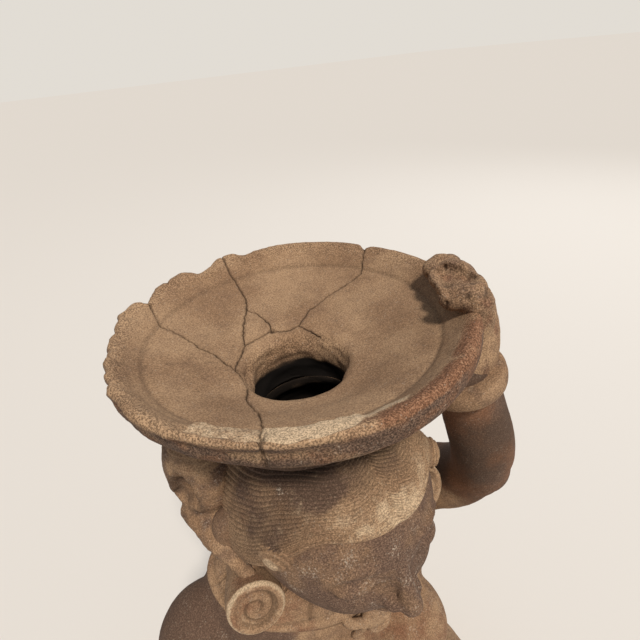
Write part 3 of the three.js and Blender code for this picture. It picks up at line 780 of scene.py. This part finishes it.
def makeHair():
    rings = sum(hair[k] for k in ("capRings", "combRings", "edgeRings", "innerRings"))
    piece, flat, ring, _ = ball(hair["columns"], rings, "hair")
    turn = np.arctan2(flat[:, 0], -flat[:, 1])
    azimuth = turn - 0.4 * np.sin(turn)
    degrees = np.degrees(azimuth)
    line = hairlineDrop(azimuth)
    fall = np.clip((ring - hair["capRings"]) / hair["combRings"], 0, 1)
    drop = hair["topDrop"] + (line - hair["topDrop"]) * fall
    places = hairSkin(azimuth, drop)
    front = np.clip(np.cos(azimuth) + 0.35, 0, 1)
    above = line - drop
    amount = 3.4 * front * bell(above - 11, 9) + 2.2 * bell(degrees + 52, 24) * bell(above - 16, 12)
    amount += 2.4 * bell(np.abs(degrees) - 15, 11) * bell(above - 18, 10) - 3.2 * bell(degrees - 78, 40)
    amount -= 3.6 * bell(degrees, 3.0) * ramp(above, -2, 5)  # the parting

    # comb lines fan from the hairline to the foot of the dish and lift towards the parting
    lift = 4.0 * bell(degrees, 17) + 1.2 * bell(np.abs(degrees) - 60, 14)
    phase = fall * hair["lines"] + lift + 0.55 * lumps(np.stack([degrees / 3, fall * 18, 0 * fall], 1), 4, 51)
    groove = grooves(phase, 1.6)
    worn = 0.45 + 0.55 * ramp(lumps(places, 15, 52), -0.75, 0.1)
    combed = ramp(fall, 0.02, 0.06)
    amount -= hair["combDepth"] * groove * (0.35 + 0.65 * worn) * combed * (1 - ramp(fall, 0.96, 1.0))
    lock = 0.5 + 0.5 * np.cos(2 * math.pi * phase / hair["lockLines"] + 1.1)
    amount -= hair["lockDepth"] * lock * ramp(fall, 0.05, 0.2)
    amount += waves(places, hair["skin"])

    # at the hairline the mass turns under in a round edge, and it closes under the dish and in the head
    comb = hair["capRings"] + hair["combRings"]
    edge = np.clip((ring - comb) / hair["edgeRings"], 0, 1)
    under = math.pi * edge * 0.86
    thick = hair["edgeThick"] + 0.8 * bell(np.abs(degrees) - 60, 20)
    amount -= thick * (1 - np.cos(under)) * (edge > 0)
    places += np.stack([np.sin(azimuth), -np.cos(azimuth), np.zeros(len(azimuth))], 1) * amount[:, None]
    places[:, 2] -= np.where(edge > 0, thick * np.sin(under) * 1.05, 0)
    cap = np.sin(np.clip(ring / hair["capRings"], 0, 1) * math.pi / 2)[:, None]
    top = np.array((head["centre"][0], head["centre"][1], 12.0 - hair["topDrop"]))
    places = np.where((ring < hair["capRings"])[:, None], top + (places - top) * cap, places)
    inner = np.clip((ring - comb - hair["edgeRings"]) / hair["innerRings"], 0, 1)
    places += ((head["centre"][0], head["centre"][1], -hair["heartDrop"]) - places) * inner[:, None]
    writePlaces(piece, places)
    facedOut(piece)
    # the comb grooves are kept as a mask for the painted shade laid in them
    painted(piece, comb=groove * worn * (edge == 0) * combed)
    cutHollow(piece, 5)

    places = readPlaces(piece)
    carved = np.empty(len(places))
    piece.data.attributes["comb"].data.foreach_get("value", carved)
    forward, drop = -places[:, 1], -places[:, 2]
    grit = lumps(places, 8, 55)
    # paintedLight is a painted pool of light on the lit roll above the brow; dishShadow is the dish's shadow
    # painted on the hair's upper right
    paintedLight = bell(places[:, 0] + 2, 40) * ramp(forward, 35, 62)
    paintedLight *= ramp(drop, 55, 64) * (1 - 0.7 * ramp(drop, 72, 88))
    dishShadow = ramp(78 - drop - 0.9 * (places[:, 0] + 45) + 3 * grit, -3, 14) * ramp(forward, 10, 30)
    inside, inThroat = fromHollow(places, 5)
    # painted shade: dark and plum under the dish's rim, in the comb grooves and in dishShadow; paintedLight
    # lifts pale and lowers red and plum as painted light; soot is painted shade in the hollow
    painted(
        piece,
        dark=0.4 * ramp(drop, 60, 50) + 0.45 * carved + 0.16 * dishShadow,
        plum=0.4 * ramp(drop, 64, 52) + 0.5 * dishShadow + 0.2 * grit * (1 - paintedLight) - 0.2 * paintedLight,
        red=0.25 + 0.3 * lumps(places, 18, 56) - 0.35 * paintedLight,
        pale=0.38 * paintedLight + 0.15 + 0.2 * lumps(places, 6, 57),
        soot=(inside < 0.08) | ((inThroat < 9) & (drop < 80)),
        coarse=np.full(len(places), 0.12),
        ash=0.7 * bell(np.linalg.norm(places - hair["ashSpot"], axis=1), 3.4) + 0.1 * ramp(grit, 0.3, 0.8),
    )
    finished(piece, "hairClay")


templeCurl = {"azimuth": 59, "above": 2.5, "half": (9.5, 8, 5.5), "turns": 3.2, "sunk": {-1: 0.4, 1: 3.4}}


def makeTempleCurl(side):  # a ball whose pole points outwards, with a spiral wound round it
    azimuth = math.radians(side * templeCurl["azimuth"])
    outward = np.array((math.sin(azimuth), -math.cos(azimuth), 0))
    drop = hairlineDrop(np.array([azimuth])) - templeCurl["above"]
    centre = hairSkin(azimuth, drop)[0] - outward * templeCurl["sunk"][side]
    piece, flat, _, turn = ball(96, 64, sided("templeCurl", side))
    r = np.arccos(np.clip(flat[:, 2], -1, 1)) / math.pi
    wound = r * 2 * templeCurl["turns"] - side * turn / (2 * math.pi)
    groove = grooves(wound, 1.8) * ramp(r, 0.03, 0.1) * (1 - ramp(r, 0.5, 0.6))
    out = Vector((*outward[:2], -0.12)).normalized()
    across = Vector((0, 0, 1)).cross(out).normalized()
    axes = np.array([across, out.cross(across), out])
    writePlaces(piece, centre + flat * (1 - 0.09 * groove[:, None]) * templeCurl["half"] @ axes)
    roughened(piece, [(0.25, 5, 61)])
    even = np.full(len(flat), 0.1)
    painted(piece, dark=0.25 * groove, red=even, pale=0.55 * ramp(0.32 - r, 0, 0.2), ash=even)
    finished(piece, "hairClay")


# what is left of the gathered hair, broken off at the right of the back
scar = {
    "lumps": [((-64, 12, 84), (22, 27, 34)), ((-62, -8, 116), (19, 20, 15))],
    "ridge": [(-80, 4, 106, 6), (-74, -20, 116, 6), (-66, -38, 128, 4)],
    "hollows": [((-84, -3, 86), (12, 9, 15), (0, 20, 20)), ((-76, -27, 128), (7, 10, 6), (0, 0, 0))],
    "cell": 1.15, "skin": [(0.5, 12, 76), (0.12, 3, 77)], "brokenSkin": [(1.1, 5, 78), (0.6, 2.2, 79)],
}


def makeHairScar():
    parts = [egg(centre, half) for centre, half in scar["lumps"]] + [limb(scar["ridge"])]
    piece = fused(parts, "hairScar", scar["cell"], 6)
    brokenInto(piece, scar["hollows"], (1.6, 7, 71), (0.9, 3, 73))
    cutHollow(piece, 5)
    reskinned(piece, scar["cell"], 2)
    places = readPlaces(piece)
    drop = -places[:, 2]
    inHollow = np.zeros(len(places))
    for (x, y, down), half, _ in scar["hollows"]:
        away = np.linalg.norm((places - (x, y, -down)) / half, axis=1)
        inHollow = np.maximum(inHollow, 1 - ramp(away, 1.05, 1.5))
    lowEdge = ramp(drop, 98, 108) * ramp(-places[:, 0], 58, 68)
    broken = np.maximum(inHollow, 0.7 * lowEdge)
    comb = 0.45 * grooves(drop / 3.0 + 0.4 * lumps(places, 14, 75), 1.6) * (1 - broken)
    pushed(piece, waves(places, scar["skin"]) - comb + broken * waves(places, scar["brokenSkin"]))
    grit = lumps(places, 6, 80)
    painted(piece, dark=0.55 * inHollow * ramp(grit, -0.6, 0.6), plum=0.4 + 0.3 * grit,
            red=0.35 * (1 - broken), pale=0.4 * lowEdge * ramp(grit, -0.2, 0.6), ash=0.15 + 0.2 * grit)
    finished(piece, "hairClay")


# ears stretched over rolled plugs
plug = {
    "spread": {-1: 66, 1: 60}, "faceCentre": (-51, 138), "inward": (-0.2, 0.93, -0.31),
    "radius": 16, "length": 38, "steps": 120,
    "spacing": [0.45, 0.45, 0.45, 0.45, 0.4, 0.4, 0.8, 1.2, 1.4, 1.4, 3],
    "ring": 10.6, "turns": 1.7, "skin": [(0.3, 9, 91), (0.12, 3, 92)],
}
ear = {"rows": [(58, -24, 96, 6), (62, -18, 106, 9), (63, -22, 120, 7), (58, -30, 134, 7)], "cell": 1.0}


def makeEar(side):
    r, length, rolled = plug["radius"], plug["length"], plug["ring"]
    section = [(0.02, 0), (4, 0), (8, 0), (12, 0), (r - 1.4, -0.2), (r - 0.3, 0.8), (r, 2.4), (r - 0.5, 8),
               (r - 1.6, 18), (r - 3.4, 27), (r - 5, length), (0.02, length)]
    piece = turned(section, plug["spacing"], plug["steps"], sided("earPlug", side))
    places = readPlaces(piece)  # turned about the dish's axis, its end face up
    x, y, depth = places[:, 0], places[:, 1], -places[:, 2]
    radius, turn = np.hypot(x, y), np.arctan2(y, x)
    end = 1 - ramp(depth, 1.0, 2.4)
    wound = radius / rolled * plug["turns"] + side * turn / (2 * math.pi)
    groove = bell((wound % 1) - 0.5, 0.11) * ramp(radius, 1.5, 3) * (1 - ramp(radius, rolled - 0.8, rolled))
    ring = bell(radius - rolled, 0.9) * (0.6 + 0.4 * np.cos(turn - side * 0.9))
    swell = 0.8 * bell(radius, 2.4) + 0.9 * bell(radius - 13.2, 2.2)
    places[:, 2] -= end * (1.4 * groove + 2.2 * ring - swell)
    places[:, :2] *= (1 + 0.03 * np.cos(2 * turn + 0.7) * ramp(depth, 0, 4))[:, None]
    across, back, up = plug["inward"]
    turnTo = np.array(Vector((side * across, back, up)).normalized().to_track_quat("-Z", "Y").to_matrix())
    middle = head["centre"][0]
    y, drop = plug["faceCentre"]
    writePlaces(piece, places @ turnTo.T + (middle + side * plug["spread"][side], y, -drop))
    roughened(piece, plug["skin"])
    places = readPlaces(piece)
    grit = lumps(places, 6, 93)
    worn = 0.5 * bell(radius - r + 0.6, 1.1) * bell(depth - 0.6, 1.4)
    painted(
        piece, dark=0.55 * end * groove + 0.5 * end * ring, plum=0.15 + 0.25 * grit,
        red=0.25 + 0.3 * lumps(places, 12, 94), pale=0.3 * end * (1 - groove) + worn, ash=0.1 + 0.2 * grit)
    finished(piece, "plugClay")
    lobe = fused([limb(ear["rows"], side, middle)], sided("ear", side), ear["cell"], 3)
    even = np.ones(len(lobe.data.vertices))
    painted(lobe, plum=0.5 * even, red=0.2 * even, ash=0.12 * even)
    finished(lobe, "faceClay")


# the body, by levels of drop, half width, reach forward and reach back
bodyLevels = [
    (146, 34, 36, 28), (162, 37, 39, 33), (173, 62, 44, 38), (183, 86, 48, 42), (198, 92, 52, 47),
    (228, 87, 58, 49), (262, 77, 61, 45), (300, 71, 58, 41), (334, 82, 62, 46), (374, 100, 64, 60),
    (416, 104, 54, 72), (460, 94, 46, 68),
]
lastLevel = len(bodyLevels) - 1
squareness = 0.86
torso = {
    "toLevel": 8.1, "cell": 2.15, "breast": (32, -56, 260), "breastHalf": (30, 34, 31),
    "nipple": (35, -89, 265), "nippleHalf": (4.5, 4, 4.5),
    "shoulder": (70, 2, 206), "shoulderHalf": (28, 22, 18),
    "palm": ((-71, -96, 352), (15, 20, 9), (18, 0, -22)), "fingerApart": 8,
    "finger": [(-81, -102, 353, 5), (-77, -117, 361, 4.8), (-75, -128, 374, 4)],
    "thumb": [(-66, -84, 350, 6.5), (-56, -92, 352, 5.4), (-49, -104, 357, 4.4)],
    "skin": [(0.7, 34, 101), (0.3, 12, 102), (0.12, 4.5, 103)], "navelDrop": 306,
}
arms = {
    "left": [(72, 3, 214, 21), (92, -6, 200, 26), (99, -40, 164, 23), (95, -62, 131, 19)],
    "leftFore": [(96, -58, 142, 18), (92, -63, 114, 20), (81, -63, 78, 19), (71, -60, 44, 17)],
    "right": [(-70, 3, 214, 20), (-97, 3, 214, 27), (-108, 0, 252, 23), (-106, -6, 296, 18)],
    "rightFore": [(-106, 0, 290, 18), (-100, -30, 314, 19), (-88, -62, 334, 16), (-78, -84, 346, 13)],
}


def bodyPlaces(level, angle, edge=1.0):  # on the trunk's skin, by level from neck to seat and angle
    drop, halfWidth, forward, back = (through(values, level / lastLevel) for values in zip(*bodyLevels))
    side = np.sign(np.cos(angle)) * np.abs(np.cos(angle)) ** squareness
    depth = np.sign(np.sin(angle)) * np.abs(np.sin(angle)) ** squareness
    return np.stack([edge * halfWidth * side, edge * np.where(depth < 0, forward, back) * depth, -drop], 1)


def trunkPart(fromLevel, toLevel, name):
    piece, _, ring, angle = ball(96, 60, name)
    level = fromLevel + (toLevel - fromLevel) * np.clip((ring - 1) / 58, 0, 1)
    writePlaces(piece, bodyPlaces(level, angle, np.where((ring == 0) | (ring == 60), 0.0, 1.0)))
    return piece


def wrappedBand(first, last, columns, rows, name):  # a band round the trunk, from one level to another
    piece, across, along = sheet(columns, rows, name)
    angle = across * math.pi
    if callable(last):
        last = last(angle)
    writePlaces(piece, bodyPlaces(first + (last - first) * along, angle))
    return piece, along, angle


def closedBand(piece, thickness):
    facedOut(piece, 0.0001)
    applied(piece, "SOLIDIFY", thickness=thickness, offset=-1)


def makeUpperBody():
    parts = [trunkPart(0, torso["toLevel"], "trunk")] + [limb(rows) for rows in arms.values()]
    for side in (-1, 1):
        for name, turn in (("breast", 0), ("nipple", 0), ("shoulder", 24)):
            x, y, drop = torso[name]
            parts.append(egg((side * x, y, drop), torso[name + "Half"], (0, side * turn, 0)))
    parts.append(egg(*torso["palm"]))
    for i in range(4):
        parts.append(limb(torso["finger"], middle=torso["fingerApart"] * i))
    parts.append(limb(torso["thumb"]))
    piece = fused(parts, "upperBody", torso["cell"], 7)
    places = readPlaces(piece)
    drop = -places[:, 2]
    spine = -1.6 * bell(places[:, 0], 7) * ramp(places[:, 1], 15, 35) * ramp(drop, 200, 225)
    navel = -3 * bell(np.hypot(places[:, 0], drop - torso["navelDrop"]), 4) * (places[:, 1] < -40)
    pushed(piece, waves(places, torso["skin"]) + spine + navel)

    places = readPlaces(piece)
    x, height = places[:, 0], places[:, 2]
    # shadedArm marks her left arm and shaded her right shoulder, both in the dish's shadow: their dark and
    # plum are painted shadow
    shadedArm = np.maximum(ramp(x, 78, 90) * ramp(height, -188, -160), ramp(x, 44, 54) * ramp(height, -168, -150))
    shaded = ramp(8 * lumps(places, 22, 110) - x, 38, 76)
    shaded *= ramp(12 * lumps(places, 26, 111) - height, 262, 186)
    painted(
        piece,
        dark=shadedArm * (0.5 - 0.35 * ramp(lumps(places, 22, 105), -0.2, 0.7)) + 0.2 * shaded,
        plum=np.maximum(shadedArm * (0.5 + 0.4 * lumps(places, 20, 106)),
                        0.6 * shaded + 0.25 + 0.25 * lumps(places, 9, 104)),
        red=np.maximum(0.3 + 0.35 * lumps(places, 26, 107), 0.8 * shadedArm),
        pale=0.25 * ramp(lumps(places, 15, 108), 0.2, 0.8) * (1 - shadedArm),
        ash=0.12 + 0.25 * lumps(places, 7, 109),
    )
    finished(piece, "skinClay")


# the hand on the rim, its fingers broken away
hand = {
    "back": [(69, -59, 50, 15.5), (74, -61, 34, 14), (79, -60, 16, 11), (80, -57, 4, 9.5)],
    "heel": [(76, -55, 30, 12), (84, -52, 14, 10), (88, -44, 4, 8.5)],
    # fingers by their angle round the dish, each through radius, drop and thickness; the last is thinner
    "fingers": {-41: 0, -33: 0, -25: 0, -17: 1.2},
    "reach": [(96, 16, 7.5), (97.5, 3, 8.5), (92, -6, 8.5), (84, -5, 7)],
    "breaks": [((70, -44, -14), (12, 20, 8), (0, 24, 30)), ((92, -17, -16), (9, 12, 7), (10, 0, 0)),
               ((66, -54, -8), (8, 8, 7), (0, 0, 0))],
    "cell": 0.93, "pits": ((4.2, 118), (2.6, 119)), "pitDepth": 1.1,
    "brokenSkin": [(0.55, 8, 116), (0.22, 2.5, 117)], "skin": [(0.35, 9, 120), (0.15, 3, 121)],
}


def makeHand():
    parts = [limb(hand["back"]), limb(hand["heel"])]
    for degrees, thinner in hand["fingers"].items():
        x, y = math.cos(math.radians(degrees)), math.sin(math.radians(degrees))
        parts.append(limb([(r * x, r * y, drop, thick - thinner) for r, drop, thick in hand["reach"]]))
    piece = fused(parts, "brokenHand", hand["cell"], 3)
    brokenInto(piece, hand["breaks"], (1.0, 9, 111), (0.3, 3, 114))
    reskinned(piece, hand["cell"], 14)
    places = readPlaces(piece)
    upper = 1 - ramp(-places[:, 2], 6, 18)
    pits = sum(ramp(lumps(places, size, seed), 0.45, 0.8) for size, seed in hand["pits"])
    pushed(piece, upper * (waves(places, hand["brokenSkin"]) - hand["pitDepth"] * pits)
           + (1 - upper) * waves(places, hand["skin"]))
    grit = lumps(places, 5, 122)
    painted(
        piece,
        dark=0.55 * upper * np.clip(pits, 0, 1),
        plum=0.42 * upper + 0.45 * (1 - upper) * ramp(grit, -0.4, 0.6),
        red=0.3 + 0.25 * grit,
        pale=0.12 * upper * ramp(grit, 0, 0.7),
        ash=0.12 * upper * ramp(lumps(places, 3, 123), 0, 0.6),
        coarse=0.2 * upper,
    )
    finished(piece, "handClay")


bangles = {
    "left": {"centre": (69.5, -60, 43), "axis": (-11, 3, 36), "radius": 24, "thickness": 11},
    "right": {"centre": (-81, -77, 343), "axis": (10, -22, -12), "radius": 18, "thickness": 8},
}
bangleSkin = [(0.45, 14, 131), (0.2, 5, 132), (0.09, 2.2, 133)]


def makeBangle(name):
    own = bangles[name]
    r, half = own["radius"], own["thickness"] / 2
    lower = [(r - 14, -half + 0.6), (r - 8, -half), (r - 2.4, -half + 0.2), (r - 0.7, -half + 1.5)]
    upper = [(radius, -level) for radius, level in reversed(lower)]
    piece = turned(lower + [(r, 0)] + upper + lower[:1], 0.9, 150, name + "Bangle")
    turnTo = np.array(Vector(own["axis"]).to_track_quat("Z", "Y").to_matrix())
    x, y, drop = own["centre"]
    writePlaces(piece, readPlaces(piece) @ turnTo.T + (x, y, -drop))
    roughened(piece, bangleSkin)
    grit = lumps(readPlaces(piece), 7, 134)
    painted(piece, plum=0.3 + 0.3 * grit, red=0.2 + 0.3 * grit, pale=0.1 + 0.3 * grit, ash=0.05 + 0.2 * grit)
    finished(piece, "plugClay")


# the broad collar, scored into panels, with a plaque and a small hook at the throat
collar = {
    "from": 1.5, "to": 2.9, "lower": 1.6, "panels": 16, "panelWidth": 28, "proud": 2.6, "edging": 1.5,
    "bead": 0.7, "divider": 1.9, "groove": 0.8, "thickness": 0.006, "skin": [(0.3, 8, 141), (0.14, 3, 142)],
    "dust": {"plum": (0.15, 0.3, 7, 143), "red": (0.3, 0.3, 17, 144), "pale": (0.2, 10, 145, 0, 0.7),
             "ash": (0.1, 0.3, 5, 146)},
}
throatPiece = {
    "plaque": ((3, -59, 217), (13, 7, 13), (8, 0, 0), 96, 64),
    "hook": [(-19, -53, 202, 3), (-18, -58, 207, 3.6), (-11, -60.5, 211, 3.4), (-10, -61, 217, 3),
             (-16, -60, 222, 2.4)],
    "scroll": [(-2, -63, 208, 1.4), (4, -64.5, 207, 1.5), (10, -64, 211, 1.5), (8, -65.5, 216, 1.4),
               (3, -66, 214, 1.2)],
    "lowScroll": [(12, -63, 220, 1.3), (7, -65.5, 224, 1.5), (1, -65.5, 226, 1.4), (-5, -64, 223, 1.2)],
    "cell": 0.7, "skin": [(0.3, 5, 151), (0.15, 2, 152)],
}


def collarEnd(angle):  # it hangs lower in front
    return collar["to"] + collar["lower"] * np.clip(-np.sin(angle), 0, 1) ** 2.7


def makeCollar():
    piece, along, angle = wrappedBand(collar["from"], collarEnd, 520, 32, "collar")
    inPanel = (angle / (2 * math.pi) * collar["panels"]) % 1
    fromSide = np.minimum(inPanel, 1 - inPanel) * collar["panelWidth"]
    divider = bell(fromSide, 0.9)
    groove = bell(along - 0.82, 0.03)
    amount = collar["proud"] * ramp(along, 0, 0.06) * (1 - ramp(along, 0.97, 1.0))
    amount += collar["edging"] * (bell(along - 0.93, 0.055) + 0.6 * bell(along - 0.06, 0.05))
    amount += collar["bead"] * bell(fromSide - 2.1, 0.9) * (1 - ramp(along, 0.74, 0.8))
    amount -= collar["divider"] * divider * (1 - ramp(along, 0.8, 0.86)) + collar["groove"] * groove
    places = readPlaces(piece)
    lift = unitRows(np.stack([np.cos(angle), np.sin(angle), np.full(len(angle), 1.2)], 1))
    writePlaces(piece, places + lift * (amount + 0.6 + waves(places, collar["skin"]))[:, None])
    painted(piece, dark=0.45 * divider * (along < 0.84) + 0.3 * groove)
    closedBand(piece, collar["thickness"])
    dusted(piece, collar["dust"])
    finished(piece, "collarClay")


def makeThroatPiece():
    parts = [egg(*throatPiece["plaque"])]
    parts += [limb(throatPiece[name]) for name in ("hook", "scroll", "lowScroll")]
    piece = fused(parts, "throatPlaque", throatPiece["cell"], 2)
    roughened(piece, throatPiece["skin"])
    places = readPlaces(piece)
    even = np.ones(len(places))
    painted(piece, plum=0.15 + 0.3 * lumps(places, 5, 153), red=0.1 * even, pale=0.25 * even, ash=0.25 * even)
    finished(piece, "collarClay")


# the wrapped cloth over hips and folded legs, and the heels behind
legs = {
    "thigh": [(52, 10, 400, 42), (60, -40, 396, 41), (66, -86, 399, 36), (66, -110, 414, 31)],
    "shin": [(66, -106, 434, 26), (62, -50, 438, 25), (54, 20, 440, 22), (44, 60, 444, 15)],
    "lap": ((0, -46, 402), (54, 62, 46)), "heel": (38, 72, 446), "heelHalf": (17, 28, 14),
    "toe": (26, 98, 450), "toeHalf": (3.6, 5.5, 4.2), "toeStep": (5.6, -1.6),
    "fromLevel": 7.5, "cell": 2.5, "foldHeight": 2.4, "foldDepth": 1.3,
    "skin": [(0.8, 30, 161), (0.35, 11, 162)],
    "dust": {"plum": (0.3, 0.35, 24, 163), "red": (0.3, 0.4, 30, 164), "pale": (0.2, 14, 165, 0.1, 0.8),
             "ash": (0.1, 0.3, 9, 166)},
}
clothFolds = [  # ridges of the cloth as routes on her left; the same on her right a little higher
    [(100, 10, 352), (96, -40, 372), (92, -84, 398), (86, -112, 424)],
    [(104, 30, 368), (103, -20, 394), (99, -64, 420), (92, -98, 440)],
    [(60, -60, 340), (72, -84, 364), (82, -108, 388), (84, -124, 410)],
    [(36, -62, 338), (50, -90, 362), (62, -116, 384), (66, -132, 404)],
    [(86, 60, 372), (98, 40, 404), (100, 10, 430), (96, -20, 446)],
    [(20, 74, 372), (52, 76, 396), (78, 66, 420), (90, 44, 440)],
]


def makeLowerBody():
    parts = [trunkPart(legs["fromLevel"], lastLevel, "hips"), egg(*legs["lap"])]
    for side in (-1, 1):
        parts += [limb(legs["thigh"], side), limb(legs["shin"], side)]
        x, y, drop = legs["heel"]
        parts.append(egg((side * x, y, drop), legs["heelHalf"], (0, 0, side * 14)))
        x, y, drop = legs["toe"]
        for i in range(5):
            toe = (side * (x + legs["toeStep"][0] * i), y + legs["toeStep"][1] * i, drop)
            parts.append(egg(toe, legs["toeHalf"]))
    piece = fused(parts, "lowerBody", legs["cell"], 7)
    places = readPlaces(piece)
    crease = np.zeros(len(places))
    for route in clothFolds:
        for side, higher in ((-1, 3), (1, 0)):
            line = [(side * x, y, higher - drop) for x, y, drop in route]
            crease += legs["foldHeight"] * bell(fromLine(places, line), 5)
            crease -= legs["foldDepth"] * bell(fromLine(places + (0, 0, 7), line), 4)
    cloth = 1 - ramp(places[:, 1], 66, 74) * ramp(-places[:, 2], 418, 428)
    pushed(piece, crease * cloth + waves(places, legs["skin"]))
    dusted(piece, legs["dust"])
    finished(piece, "clothClay")


sash = {
    "from": 7.68, "to": 8.32, "proud": 3.6, "prouderBehind": 3.2, "strand": 0.55, "twist": 0.25,
    "thickness": 0.005,
    "dust": {"plum": (0.25, 0.3, 12, 172), "red": (0.3, 0.3, 19, 173), "pale": (0.2, 8, 174, 0, 0.7),
             "ash": (0.1, 0.2, 6, 175)},
}


def makeSash():
    piece, along, angle = wrappedBand(sash["from"], sash["to"], 480, 24, "sash")
    places = readPlaces(piece)
    rolled = np.sin(np.clip(along, 0, 1) * math.pi) ** 0.45
    amount = sash["proud"] + sash["prouderBehind"] * ramp(angle, 0, 1) * ramp(math.pi - angle, 0, 1)
    amount += sash["strand"] * np.sin(along * 6 * math.pi + 0.8 * np.sin(3 * angle))
    amount += sash["twist"] * np.sin(9 * angle + along * 5)
    out = np.stack([np.cos(angle), np.sin(angle), np.zeros(len(angle))], 1)
    writePlaces(piece, places + out * (amount * rolled - 0.8 + 0.3 * lumps(places, 7, 171))[:, None])
    closedBand(piece, sash["thickness"])
    dusted(piece, sash["dust"])
    finished(piece, "clothClay")


pleats = {
    "halfWidth": 25, "folds": 5, "fall": [(-52, 326), (-76, 358), (-104, 396), (-112, 456)],
    "grid": (110, 130), "proud": 5.4, "foldHeight": 3.0, "rising": 0.78, "wider": 0.16, "thickness": 0.012,
    "skin": [(0.35, 9, 181), (0.15, 3, 182)],
    "dust": {"plum": (0.25, 0.3, 14, 183), "red": (0.3, 0.3, 21, 184), "pale": (0.2, 9, 185, 0, 0.7),
             "ash": (0.1, 0.2, 6, 186)},
}


def makePleats():
    piece, across, along = sheet(*pleats["grid"], "pleats")
    ys, drops = np.array(pleats["fall"], float).T
    step = 0.01
    slopeY, slopeDrop = (through(row, along + step) - through(row, along - step) for row in (ys, drops))
    out = unitRows(np.stack([np.zeros(len(along)), -slopeDrop, -slopeY], 1))
    part = ((across + 1) / 2 * pleats["folds"] + 0.06 * np.sin(along * 5)) % 1
    wave = np.where(part < pleats["rising"], part / pleats["rising"], (1 - part) / (1 - pleats["rising"]))
    edge = ramp(1 - np.abs(across), 0, 0.1)
    proud = pleats["proud"] + pleats["foldHeight"] * wave * edge - 3.5 * (1 - edge)
    proud -= 3.0 * (1 - ramp(1 - along, 0, 0.02))
    width = across * pleats["halfWidth"] * (1 + pleats["wider"] * along)
    places = np.stack([width, through(ys, along), -through(drops, along)], 1) + out * proud[:, None]
    writePlaces(piece, places + out * waves(places, pleats["skin"])[:, None])
    facedOut(piece)
    applied(piece, "SOLIDIFY", thickness=pleats["thickness"], offset=-1)
    dusted(piece, pleats["dust"])
    finished(piece, "clothClay")


# the low base
base = {
    "half": (110, 122), "corner": 46, "centreY": -20, "top": 458, "halfHeight": 11, "rings": 40, "cell": 2.6,
    "skin": [(0.9, 36, 192), (0.4, 12, 193), (0.15, 5, 194)], "wear": 2.2,
    "dust": {"plum": (0.3, 0.3, 26, 196), "red": (0.25, 0.4, 32, 197), "pale": (0.15, 16, 198, 0.1, 0.8),
             "ash": (0.12, 0.3, 9, 199)},
}


def makeBase():
    rings, corner = base["rings"], base["corner"]
    piece, _, ring, angle = ball(128, rings, "base")
    share = np.minimum(np.minimum(ring, rings - ring) / 12, 1)
    x, y = (np.sign(np.round(wave, 6)) * (half - corner) + corner * wave
            for wave, half in zip((np.cos(angle), np.sin(angle)), base["half"]))
    height = base["halfHeight"] * np.clip((rings / 2 - ring) / 8, -1, 1)
    foot = (0.0, base["centreY"], -(base["top"] + base["halfHeight"]))
    writePlaces(piece, np.stack([x * share, y * share, height], 1) + foot)
    reskinned(piece, base["cell"], 8)
    places = readPlaces(piece)
    above = ramp(places[:, 2], 1.5 - rimLevel, 6 - rimLevel)
    edgeWear = ramp(lumps(places, 20, 191), 0.1, 0.8) * bell(places[:, 2] + base["top"] + 2, 7)
    worn = base["wear"] * edgeWear * (0.7 + 0.3 * lumps(places, 5, 195))
    pushed(piece, above * waves(places, base["skin"]) - worn)
    places = readPlaces(piece)
    places[:, 2] = np.maximum(places[:, 2], -rimLevel)
    writePlaces(piece, places)
    dusted(piece, base["dust"], pale=0.5 * edgeWear)
    finished(piece, "clothClay")


makeCamera()
makeStage()
for kind, recipe in clayKinds.items():
    firedClay(kind, *recipe)
makeDish()
makeHead()
makeHair()
for side in (-1, 1):
    makeTempleCurl(side)
makeHairScar()
for side in (-1, 1):
    makeEar(side)
makeUpperBody()
makeHand()
for name in bangles:
    makeBangle(name)
makeCollar()
makeThroatPiece()
makeLowerBody()
makeSash()
makePleats()
makeBase()
